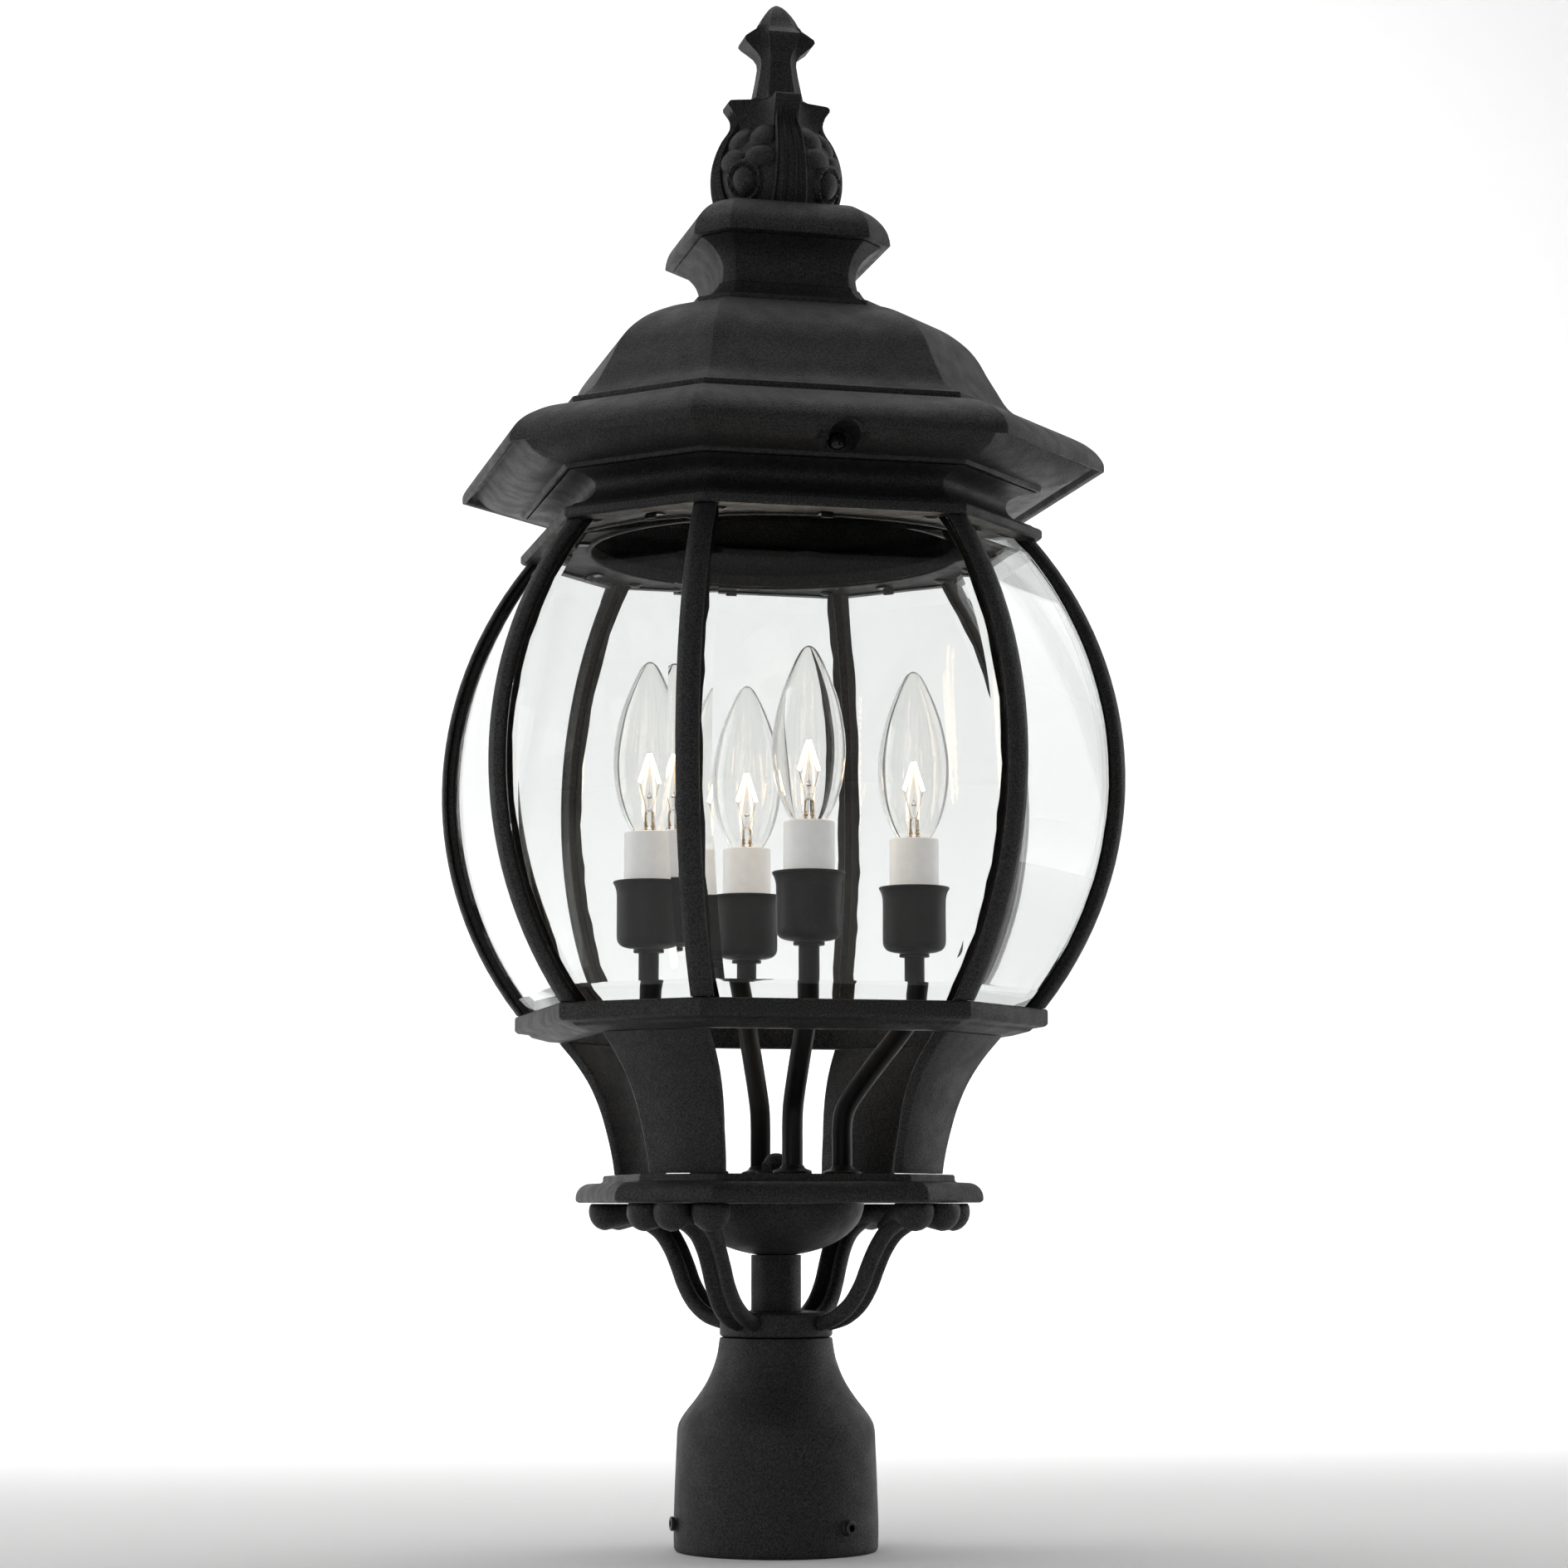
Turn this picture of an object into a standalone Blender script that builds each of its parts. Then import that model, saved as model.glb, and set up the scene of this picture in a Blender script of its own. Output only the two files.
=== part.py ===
"""Post-top lantern: cast octagonal roof over a bulging cage of bent glass, four candle lamps, post fitter.

Run with: blender --background --python part.py
Units are metres, +Z is up, and the origin is the centre of the fitter's bottom rim. Every octagonal piece
is the same outline moved in or out: flats across X and Y lie at the "apothem" A, and each flat is
CORNER_SHIFT longer at both ends than a regular octagon's, which makes the four diagonal flats narrower.
"""

from math import cos, pi, radians, sin, sqrt, tan

import bmesh
import bpy
from mathutils import Matrix, Vector

OBJECT_NAME = "post_top_lantern"

GAP = 0.0003  # air between two pieces that touch
WALL = 0.003  # cast wall
TAN_EIGHTH = tan(pi / 8)
CORNER_SHIFT = 0.0122
DIAGONAL_SHIFT = CORNER_SHIFT / sqrt(2)  # how much further out the diagonal flats lie

# Post fitter and hub
FITTER_TOP = 0.0852
BORE_RADIUS = 0.0387
SEAT_HEIGHT = 0.046
SEAT_RADIUS = 0.0335
SET_SCREW_HEIGHT = 0.0115
SET_SCREW_RADIUS = 0.0029
SET_SCREW_LENGTH = 0.0078
SET_SCREW_OUTER = 0.0437
SET_SCREW_ANGLES = (180, 300, 60)
DRILL_DEPTH = 0.014
HUB_RADIUS = 0.023
HUB_TOP = 0.0955
STEM_RADIUS = 0.0102
STEM_DISH = 0.0009  # how much higher the stem's outer edge is, so that it follows the bowl
BOWL_BOTTOM = 0.118
BOWL_RADIUS = 0.036
BOWL_WALL = 0.0022
WIRE_WAY = 0.0065
BEAD_RADIUS = 0.0078
BEAD_DROP = 0.0028
BEAD_SPREAD = 0.0155
STRAP_SECTION = ((-1, -0.5), (-0.5, -1), (0.5, -1), (1, -0.5), (1, 0.5), (0.5, 1), (-0.5, 1), (-1, 0.5))

# Lower plate, legs and cage
PLATE_BOTTOM = 0.1395
PLATE_TOP = 0.1507
LEG_THICKNESS = 0.0042
LEG_FOOT = 0.0172  # half the leg's width at the plate
LEG_HEAD = 0.0235  # and at the cage
CAGE_BOTTOM = 0.2063
CAGE_FLOOR = 0.2171
CAGE_CEILING = 0.4095
CAGE_TOP = 0.414
CAGE_APOTHEM = 0.0994
OPENING_RADIUS = 0.0767

# Bulge of the cage: an arc in height, the same on every side
BULGE_APOTHEM = 0.1298
BULGE_RADIUS = 0.1597
BULGE_MIDDLE = 0.3118
RIB_WIDTH = 0.0092
RIB_FACE = 0.0038
RIB_CAP = 0.0028
RIB_WEB = 0.0032
RIB_DEPTH = 0.0074
GLASS_THICKNESS = 0.0034
BEVEL_WIDTH = 0.0065
BEVEL_DEPTH = 0.0012
BULGE_STEPS = 10

# Roof
FRIEZE_TOP = 0.4292
COLLAR_TOP = 0.446
EAVE_BOTTOM = 0.4295
EAVE_TOP = 0.4563
DOME_TOP = 0.5062
NECK_TOP = 0.5352
ROOF_TOP = 0.5532
ROOF_SCREW_HEIGHT = 0.435
ROOF_POCKET_RADIUS = 0.0066
ROOF_POCKET_BACK = 0.101
ROOF_BOSS_BACK = 0.0975
ROOF_BOSS_FRONT = 0.1145
ROOF_SCREW_HOLE = 0.0022
ROOF_SCREW_TIP = 0.0948
STUD_RADIUS = 0.0032
FINIAL_TOP = 0.6465

# Lamps: reach of each arm from the axis, by direction
LAMPS = (("front", 270, 0.055), ("right", 0, 0.059), ("rear", 90, 0.055), ("left", 180, 0.053))
ARM_RADIUS = 0.0042
ARM_FOOT = 0.028
CUP_BOTTOM = 0.243
CUP_TOP = 0.2704
CUP_FLOOR = 0.2458
BARREL_TOP = 0.2852
BARREL_FLOOR = 0.263
BARREL_RADIUS = 0.0086
SLEEVE_RADIUS = 0.0103
SLEEVE_TOP = 0.2906
BULB_TOP = 0.3613

BLACK = ("black_coat", (0.018, 0.018, 0.019), 0.62, 0.3)
STEEL = ("black_steel", (0.03, 0.03, 0.032), 0.38, 0.9)
GLASS = ("clear_glass", (0.9, 0.94, 0.93), 0.03, 0.0)
BULB = ("bulb_glass", (0.95, 0.9, 0.8), 0.02, 0.0)
WHITE = ("candle_white", (0.85, 0.85, 0.83), 0.35, 0.0)


# ---------------------------------------------------------------- helpers


def clear_scene():
    """Remove every object, so that the script always starts from nothing."""
    for obj in list(bpy.data.objects):
        bpy.data.objects.remove(obj, do_unlink=True)


def new_collection(name, hidden=False):
    """A collection in the scene; the cutters' one is left out of renders."""
    collection = bpy.data.collections.new(name)
    collection.hide_render = hidden
    bpy.context.scene.collection.children.link(collection)
    return collection


def surface(finish, name):
    """A Principled material of this node's own, from a finish."""
    _, colour, roughness, metallic = finish
    material = bpy.data.materials.new(name)
    material.use_nodes = True
    shader = material.node_tree.nodes["Principled BSDF"]
    shader.inputs["Base Color"].default_value = (*colour, 1)
    shader.inputs["Roughness"].default_value = roughness
    shader.inputs["Metallic"].default_value = metallic
    return material


def place(name, data, finish, location=(0, 0, 0), turn=0):
    """Put a mesh or curve in the lantern's collection, turned about +Z by this many degrees."""
    obj = bpy.data.objects.new(name, data)
    obj.location = location
    obj.rotation_euler = (0, 0, radians(turn))
    PARTS.objects.link(obj)
    data.materials.append(surface(finish, name))
    return obj


def mesh_of(name, build):
    """A mesh filled by build(bmesh), with its normals facing out."""
    mesh = bpy.data.meshes.new(name)
    work = bmesh.new()
    build(work)
    bmesh.ops.recalc_face_normals(work, faces=work.faces)
    work.to_mesh(mesh)
    work.free()
    return mesh


def loft(name, rings, closed=False):
    """Skin rings of equal point counts; the ends are capped, or joined to each other when closed."""

    def build(work):
        rows = [[work.verts.new(point) for point in ring] for ring in rings]
        pairs = list(zip(rows, rows[1:] + rows[:1] if closed else rows[1:]))
        for lower, upper in pairs:
            for i in range(len(lower)):
                j = (i + 1) % len(lower)
                work.faces.new((lower[i], lower[j], upper[j], upper[i]))
        if not closed:
            work.faces.new(rows[0])
            work.faces.new(rows[-1])

    return mesh_of(name, build)


def octagon(apothem, height):
    """The lantern's outline at one height, anticlockwise from above."""
    half_side = apothem * TAN_EIGHTH + CORNER_SHIFT
    quarter = (Vector((half_side, -apothem, height)), Vector((apothem, -half_side, height)))
    return [Matrix.Rotation(k * pi / 2, 3, "Z") @ corner for k in range(4) for corner in quarter]


def octagonal(name, profile, finish, closed=True):
    """An octagonal piece from its (apothem, height) section: a ring, or capped when not closed."""
    return place(name, loft(name, [octagon(*point) for point in profile], closed), finish)


def offset(profile, distance):
    """A section's line moved sideways by this distance, to the right of its direction."""
    points = [Vector(point) for point in profile]
    moved = []
    for i, point in enumerate(points):
        before = (point - points[i - 1]).normalized() if i else Vector((0, 0))
        after = (points[i + 1] - point).normalized() if i + 1 < len(points) else Vector((0, 0))
        along = (before + after).normalized()
        moved.append(tuple(point + Vector((along.y, -along.x)) * distance))
    return moved


def arc(centre, radius, start, end, steps):
    """Points of an arc in a section, by angle in degrees."""
    angles = [radians(start + (end - start) * i / steps) for i in range(steps + 1)]
    return [(centre[0] + radius * cos(t), centre[1] + radius * sin(t)) for t in angles]


def turned(name, profile, finish, steps=20, location=(0, 0, 0)):
    """A solid turned about +Z from (radius, height) points that end on the axis or form a loop."""
    mesh = bpy.data.meshes.new(name)
    loop = profile[0][0] > 0
    edges = [(i, i + 1) for i in range(len(profile) - 1)] + ([(len(profile) - 1, 0)] if loop else [])
    mesh.from_pydata([(r, 0, z) for r, z in profile], edges, [])
    obj = place(name, mesh, finish, location)
    screw = obj.modifiers.new("Turn", "SCREW")
    screw.axis = "Z"
    screw.steps = screw.render_steps = steps
    screw.use_merge_vertices = True
    screw.merge_threshold = 1e-5
    screw.use_normal_calculate = not loop
    screw.use_normal_flip = loop
    return obj


def as_mesh(obj):
    """Apply an object's modifiers, so that its points can be moved or Booleans can use it."""
    graph = bpy.context.evaluated_depsgraph_get()
    mesh = bpy.data.meshes.new_from_object(obj.evaluated_get(graph))
    obj.modifiers.clear()
    obj.data = mesh
    return obj


def cutter(name, data, location=(0, 0, 0), rotation=(0, 0, 0)):
    """A tool shape kept out of the lantern's own collection."""
    obj = bpy.data.objects.new(name, data)
    obj.location = location
    obj.rotation_euler = rotation
    obj.hide_render = True
    obj.display_type = "WIRE"
    CUTTERS.objects.link(obj)
    return obj


def rod_mesh(name, radius, depth, sides=24):
    """A cylinder about its own centre, along Z."""
    return mesh_of(
        name,
        lambda work: bmesh.ops.create_cone(
            work, cap_ends=True, segments=sides, radius1=radius, radius2=radius, depth=depth
        ),
    )


def box_mesh(name, size):
    """A box about its own centre."""
    scale = Matrix.Diagonal((*size, 1))
    return mesh_of(name, lambda work: bmesh.ops.create_cube(work, size=1, matrix=scale))


def boolean(obj, tool, operation="DIFFERENCE"):
    """Cut, or join, a tool shape with exact solving."""
    modifier = obj.modifiers.new(tool.name, "BOOLEAN")
    modifier.operation = operation
    modifier.solver = "EXACT"
    modifier.object = tool


# ---------------------------------------------------------------- post fitter and hub


def post_fitter():
    """Bell-shaped sleeve over a 3 inch post, with a flat seat inside and three tapped holes."""
    outside = [(0.0408, 0), (0.0415, 0.0008), (0.0414, 0.012), (0.0403, 0.043), (0.0398, 0.0497)]
    outside += [(0.0377, 0.054), (0.0323, 0.061), (0.0278, 0.068), (0.0244, 0.0767), (0.0229, FITTER_TOP)]
    inside = [(WIRE_WAY, FITTER_TOP), (WIRE_WAY, 0.0815), (0.0198, 0.0815), (0.0212, 0.0767)]
    inside += [(0.0246, 0.068), (0.029, 0.061), (SEAT_RADIUS, 0.0535), (SEAT_RADIUS, SEAT_HEIGHT)]
    inside += [(BORE_RADIUS, SEAT_HEIGHT), (BORE_RADIUS, 0)]
    fitter = turned("post_fitter", outside + inside, BLACK, steps=28)
    for angle in SET_SCREW_ANGLES:
        hole = rod_mesh("tapped_hole", SET_SCREW_RADIUS + GAP, DRILL_DEPTH, 16)
        direction = Vector((cos(radians(angle)), sin(radians(angle)), 0))
        spot = direction * 0.041 + Vector((0, 0, SET_SCREW_HEIGHT))
        boolean(fitter, cutter(f"tapped_hole_{angle}", hole, spot, (0, pi / 2, radians(angle))))


def set_screws():
    """Three socket screws that clamp the post, each with its origin on its own axis."""
    for number, angle in enumerate(SET_SCREW_ANGLES, 1):
        name = f"set_screw_{number}"
        direction = Vector((cos(radians(angle)), sin(radians(angle)), 0))
        spot = direction * (SET_SCREW_OUTER - SET_SCREW_LENGTH / 2) + Vector((0, 0, SET_SCREW_HEIGHT))
        screw = place(name, rod_mesh(name, SET_SCREW_RADIUS, SET_SCREW_LENGTH, 16), STEEL, spot)
        screw.rotation_euler = (0, pi / 2, radians(angle))


def hub_and_stem():
    """Collar over the fitter and the wire tube that rises from it to the bowl."""
    bottom, top = FITTER_TOP + GAP, BOWL_BOTTOM - GAP
    profile = [(WIRE_WAY, bottom), (0.0222, bottom), (HUB_RADIUS, bottom + 0.001)]
    profile += [(HUB_RADIUS, HUB_TOP - 0.0012), (0.0218, HUB_TOP), (STEM_RADIUS, HUB_TOP)]
    profile += [(STEM_RADIUS, top + STEM_DISH), (WIRE_WAY, top)]
    turned("hub_and_stem", profile, BLACK)


def wiring_bowl():
    """Round cover below the plate: a thin bowl that the wires pass through."""
    top = PLATE_BOTTOM - GAP
    depth = top - BOWL_BOTTOM
    angles = [radians(90 - 15 * i) for i in range(1, 7)]
    outside = [(BOWL_RADIUS * cos(t), top - depth * sin(t)) for t in angles]
    inside = [(0.95 * r, top - (top - z) * (1 - BOWL_WALL / depth)) for r, z in reversed(outside)]
    hole = [(WIRE_WAY, BOWL_BOTTOM + BOWL_WALL), (WIRE_WAY, BOWL_BOTTOM)]
    turned("wiring_bowl", outside + inside + hole, BLACK)


def scroll_brackets():
    """Four cast straps that rise from the hub on the diagonals and end in a leaf of three beads."""
    path = [(HUB_RADIUS + GAP, 0.0912), (0.0305, 0.0937), (0.0372, 0.0988), (0.0421, 0.106)]
    path += [(0.0455, 0.1138), (0.0491, 0.121), (0.054, 0.1275), (0.062, 0.1325), (0.0715, 0.1355)]
    widths = (0.014, 0.0145, 0.0138, 0.0132, 0.013, 0.0132, 0.0145, 0.019, 0.026)
    depths = (0.0062, 0.007, 0.0072, 0.0072, 0.0072, 0.0072, 0.0072, 0.0066, 0.0056)
    beads = ((0.077, 0), (0.0735, -BEAD_SPREAD), (0.0735, BEAD_SPREAD))
    under = PLATE_BOTTOM - GAP
    for number in range(1, 5):
        facing = 90 * number - 45
        rings = []
        for i, (rho, height) in enumerate(path):
            before, after = Vector(path[max(i - 1, 0)]), Vector(path[min(i + 1, len(path) - 1)])
            along = (after - before).normalized() if i else Vector((1, 0))
            across = Vector((-along.y, along.x)) * depths[i] / 2
            ring = [
                Vector((rho + across.x * lift, side * widths[i] / 2, min(height + across.y * lift, under)))
                for side, lift in STRAP_SECTION
            ]
            rings.append(ring)
        name = f"scroll_bracket_{number}"
        bracket = place(name, loft(name, rings), BLACK, turn=facing)
        for k, (rho, side) in enumerate(beads):
            spot = Matrix.Rotation(radians(facing), 3, "Z") @ Vector((rho, side, under - BEAD_DROP))
            boolean(bracket, cutter(f"bead_{number}_{k}", bead_mesh(), spot), "UNION")


def bead_mesh():
    """A ball whose top is flattened where it meets the plate."""

    def build(work):
        bmesh.ops.create_uvsphere(work, u_segments=8, v_segments=6, radius=BEAD_RADIUS)
        for vertex in work.verts:
            vertex.co.z = min(vertex.co.z, BEAD_DROP)

    return mesh_of("bead", build)


# ---------------------------------------------------------------- plate, legs and cage


def lower_plate():
    """Octagonal plate with a quarter-round edge and a raised middle that carries the legs and arms."""
    profile = [(0.0745, PLATE_BOTTOM), (0.0755, PLATE_BOTTOM + 0.0008)]
    profile += arc((0.0695, PLATE_BOTTOM + 0.002), 0.006, 0, 90, 4)
    profile += [(0.0655, PLATE_BOTTOM + 0.0085), (0.0648, PLATE_BOTTOM + 0.009)]
    profile += [(0.0648, PLATE_TOP - 0.0006), (0.0642, PLATE_TOP)]
    octagonal("lower_plate", profile, BLACK, closed=False)


def legs():
    """Four flared plates on the diagonals between the plate and the cage."""
    line = [(0.0687, PLATE_TOP + GAP), (0.0697, 0.158), (0.0719, 0.168), (0.0748, 0.178)]
    line += [(0.0792, 0.188), (0.0852, 0.197), (0.0928, CAGE_BOTTOM - GAP)]
    for number in range(1, 5):
        rings = []
        for i, (rho, height) in enumerate(line):
            half = LEG_FOOT + (LEG_HEAD - LEG_FOOT) * (i / (len(line) - 1)) ** 1.5
            back = rho - LEG_THICKNESS * (1 if i < 3 else 1 + 0.12 * (i - 2))
            corners = ((rho, -half), (rho, half), (back, half), (back, -half))
            rings.append([Vector((*corner, height)) for corner in corners])
        name = f"leg_{number}"
        place(name, loft(name, rings), BLACK, turn=90 * number - 45)


def cage_bottom_ring():
    """Moulded ring that the glass stands on."""
    profile = [(0.079, CAGE_BOTTOM), (0.0865, CAGE_BOTTOM), (0.0932, CAGE_BOTTOM + 0.0018)]
    profile += [(0.0945, 0.2093), (0.099, 0.2102), (0.1, 0.211), (0.1, 0.2162)]
    profile += [(0.0992, CAGE_FLOOR), (0.079, CAGE_FLOOR)]
    octagonal("cage_bottom_ring", profile, BLACK)


def cage_top_plate():
    """Octagonal plate with the big round opening under the roof."""
    edge = 0.0007
    profile = [(CAGE_APOTHEM - edge, CAGE_CEILING), (CAGE_APOTHEM, CAGE_CEILING + edge)]
    profile += [(CAGE_APOTHEM, CAGE_TOP - edge), (CAGE_APOTHEM - edge, CAGE_TOP)]
    plate = octagonal("cage_top_plate", profile, BLACK, closed=False)
    hole = rod_mesh("round_opening", OPENING_RADIUS, 0.02, 56)
    boolean(plate, cutter("round_opening", hole, (0, 0, CAGE_TOP)))


def bulge(height):
    """(apothem of the ribs' outer face, stretch of a wall's thickness when cut level) at this height."""
    level = sqrt(BULGE_RADIUS**2 - (height - BULGE_MIDDLE) ** 2)
    return BULGE_APOTHEM - BULGE_RADIUS + level, BULGE_RADIUS / level


def bulge_heights():
    """Heights of the steps between the cage's floor and ceiling."""
    low, high = CAGE_FLOOR + GAP, CAGE_CEILING - GAP
    return [low + (high - low) * i / BULGE_STEPS for i in range(BULGE_STEPS + 1)]


def ribs():
    """Eight T-shaped bars on the corners: a chamfered cap outside, and a web between the panes."""
    section = [(0, RIB_FACE), (0.0015, RIB_WIDTH), (RIB_CAP, RIB_WIDTH)]
    section += [(RIB_CAP, RIB_WEB), (RIB_DEPTH, RIB_WEB)]
    outline = [(depth, width / 2) for depth, width in section]
    outline += [(depth, -width) for depth, width in reversed(outline)]
    for number in range(1, 9):
        quarter, mirror = divmod(number - 1, 2)
        facing = radians(90 * quarter + (22.5 if mirror else -22.5))
        outward = Vector((cos(facing), sin(facing), 0))
        sideways = Vector((-sin(facing), cos(facing), 0))
        rings = []
        for height in bulge_heights():
            apothem, stretch = bulge(height)
            half_side = (apothem * TAN_EIGHTH + CORNER_SHIFT) * (1 if mirror else -1)
            corner = Matrix.Rotation(radians(90 * quarter), 3, "Z") @ Vector((apothem, half_side, height))
            ring = [corner - outward * depth * stretch + sideways * width for depth, width in outline]
            rings.append(ring)
        name = f"rib_{number}"
        place(name, loft(name, rings), BLACK)


def glass_panes():
    """Eight bent panes with a bevelled border, held behind the ribs' caps."""
    for number in range(1, 9):
        quarter, diagonal = divmod(number - 1, 2)
        rings = []
        for height in bulge_heights():
            apothem, stretch = bulge(height)
            front = (RIB_CAP + GAP) * stretch
            back = front + GLASS_THICKNESS * stretch
            if diagonal:
                half = apothem * TAN_EIGHTH - DIAGONAL_SHIFT
                reach = apothem + DIAGONAL_SHIFT
            else:
                half = apothem * TAN_EIGHTH + CORNER_SHIFT
                reach = apothem
            margin = (RIB_WEB / 2 + GAP) / cos(pi / 8)
            rim = front + BEVEL_DEPTH
            edge_front = half - margin - rim * TAN_EIGHTH
            edge_back = half - margin - back * TAN_EIGHTH
            flat = edge_front - BEVEL_WIDTH
            outline = [(rim, edge_front), (front, flat), (front, -flat), (rim, -edge_front)]
            outline += [(back, -edge_back), (back, edge_back)]
            rings.append([Vector((reach - depth, side, height)) for depth, side in outline])
        name = f"glass_{'narrow' if diagonal else 'wide'}_{quarter + 1}"
        place(name, loft(name, rings), GLASS, turn=90 * quarter + 45 * diagonal)


def frieze_ring():
    """Hollow moulding above the cage, and the collar on it that the roof drops over."""
    outside = [(0.0965, CAGE_TOP + GAP), (0.0955, 0.4154), (0.091, 0.4174), (0.0872, 0.4202)]
    outside += [(0.0858, 0.4232), (0.0868, 0.4258), (0.0905, 0.4279), (0.0972, FRIEZE_TOP)]
    inside = [(0.0885, FRIEZE_TOP), (0.0843, 0.4277), (0.0828, 0.4232), (0.0845, 0.4185)]
    inside += [(0.087, CAGE_TOP + GAP)]
    octagonal("frieze_ring", outside + inside, BLACK)
    foot = FRIEZE_TOP + GAP
    collar = [(0.0915, foot), (0.0945, foot), (0.0945, COLLAR_TOP), (0.0915, COLLAR_TOP)]
    octagonal("roof_collar", collar, BLACK)


# ---------------------------------------------------------------- roof


def roof_eave():
    """Broad moulded eave, hollow towards the axis, with a screw boss and pocket front and rear."""
    under = [(0.0971, EAVE_BOTTOM), (0.099, EAVE_BOTTOM), (0.0995, 0.4312), (0.1075, 0.4322)]
    under += [(0.1128, 0.4346), (0.1162, 0.4384), (0.1185, 0.4408), (0.1205, 0.4398)]
    under += [(0.1215, 0.4372), (0.1232, 0.4368)]
    above = [(0.1231, 0.4402), (0.121, 0.444), (0.1181, 0.4471), (0.1145, 0.4497)]
    above += [(0.1068, 0.4536), (0.098, EAVE_TOP)]
    hollow = [(0.0945, EAVE_TOP), (0.0945, 0.4545), (0.106, 0.4512), (0.1135, 0.4475), (0.1165, 0.4442)]
    hollow += [(0.1142, 0.4418), (0.1105, 0.4376), (0.1062, 0.4356), (0.0971, 0.4356)]
    eave = octagonal("roof_eave", under + above + hollow, BLACK)
    length = ROOF_BOSS_FRONT - ROOF_BOSS_BACK
    middle = (ROOF_BOSS_FRONT + ROOF_BOSS_BACK) / 2
    across = (pi / 2, 0, 0)
    for side in (-1, 1):
        boss = box_mesh("boss", (0.02, length, 0.0115))
        boolean(eave, cutter(f"screw_boss_{side}", boss, (0, side * middle, 0.4392)), "UNION")
        pocket = rod_mesh("pocket", ROOF_POCKET_RADIUS, 0.03)
        spot = (0, side * (ROOF_POCKET_BACK + 0.015), 0.4338)
        boolean(eave, cutter(f"screw_pocket_{side}", pocket, spot, across))
        hole = rod_mesh("hole", ROOF_SCREW_HOLE, 0.02, 16)
        spot = (0, side * 0.1, ROOF_SCREW_HEIGHT)
        boolean(eave, cutter(f"screw_hole_{side}", hole, spot, across))


def roof_screws():
    """Two pan-head screws that hold the roof on the frieze's collar."""
    seat = ROOF_POCKET_BACK + GAP
    tip = ROOF_SCREW_TIP - seat
    profile = [(0, tip), (0.0012, tip), (0.0019, tip + 0.0007), (0.0019, 0), (0.0036, 0)]
    profile += [(0.0036, 0.0012), (0.0026, 0.0022), (0, 0.0026)]
    for name, side in (("roof_screw_front", -1), ("roof_screw_rear", 1)):
        screw = turned(name, profile, STEEL, steps=16)
        screw.rotation_euler = (-pi / 2, 0, pi if side < 0 else 0)
        screw.location = (0, seat * side, ROOF_SCREW_HEIGHT)


def roof_dome():
    """Convex octagonal dome."""
    outside = [(0.0962, EAVE_TOP + GAP), (0.0962, 0.4592), (0.0915, 0.4606), (0.0867, 0.4651)]
    outside += [(0.0824, 0.4725), (0.079, 0.4787), (0.0757, 0.4854), (0.0725, 0.4898), (0.0685, 0.4938)]
    outside += [(0.0634, 0.498), (0.0574, 0.5012), (0.0509, 0.5041), (0.0445, DOME_TOP), (0.036, DOME_TOP)]
    inside = offset(outside[2:-1], -WALL)
    profile = outside + [(0.036, DOME_TOP - WALL)] + list(reversed(inside)) + [(0.09, EAVE_TOP + GAP)]
    octagonal("roof_dome", profile, BLACK)


def roof_neck():
    """Waisted neck between the dome and the cap."""
    base = DOME_TOP + GAP
    outside = [(0.0398, base), (0.0402, base + 0.0016), (0.039, base + 0.0026), (0.0345, 0.5112)]
    outside += [(0.031, 0.5145), (0.0288, 0.5187), (0.0285, 0.523), (0.0297, 0.5272), (0.0322, 0.531)]
    outside += [(0.0358, 0.5338), (0.0385, NECK_TOP)]
    inside = [(0.034, NECK_TOP), (0.0285, 0.532), (0.0265, 0.5275), (0.0255, 0.5225), (0.026, 0.5175)]
    inside += [(0.0285, 0.5115), (0.033, base)]
    octagonal("roof_neck", outside + inside, BLACK)


def roof_cap():
    """Cap with a thin lip and a rounded top, drilled for the finial's stud."""
    outside = [(0.0255, ROOF_TOP), (0.0285, 0.5526), (0.032, 0.5511), (0.0353, 0.5489), (0.0382, 0.5459)]
    outside += [(0.0405, 0.5423), (0.0417, 0.5385), (0.042, 0.5359), (0.0405, NECK_TOP + GAP)]
    inside = [(0.0378, NECK_TOP + GAP), (0.0378, 0.539), (0.036, 0.5428), (0.0335, 0.546)]
    inside += [(0.03, 0.5483), (0.023, 0.5502)]
    cap = octagonal("roof_cap", outside + inside, BLACK, closed=False)
    hole = rod_mesh("stud_hole", STUD_RADIUS + 2 * GAP, 0.02, 16)
    boolean(cap, cutter("stud_hole", hole, (0, 0, ROOF_TOP)))


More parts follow.
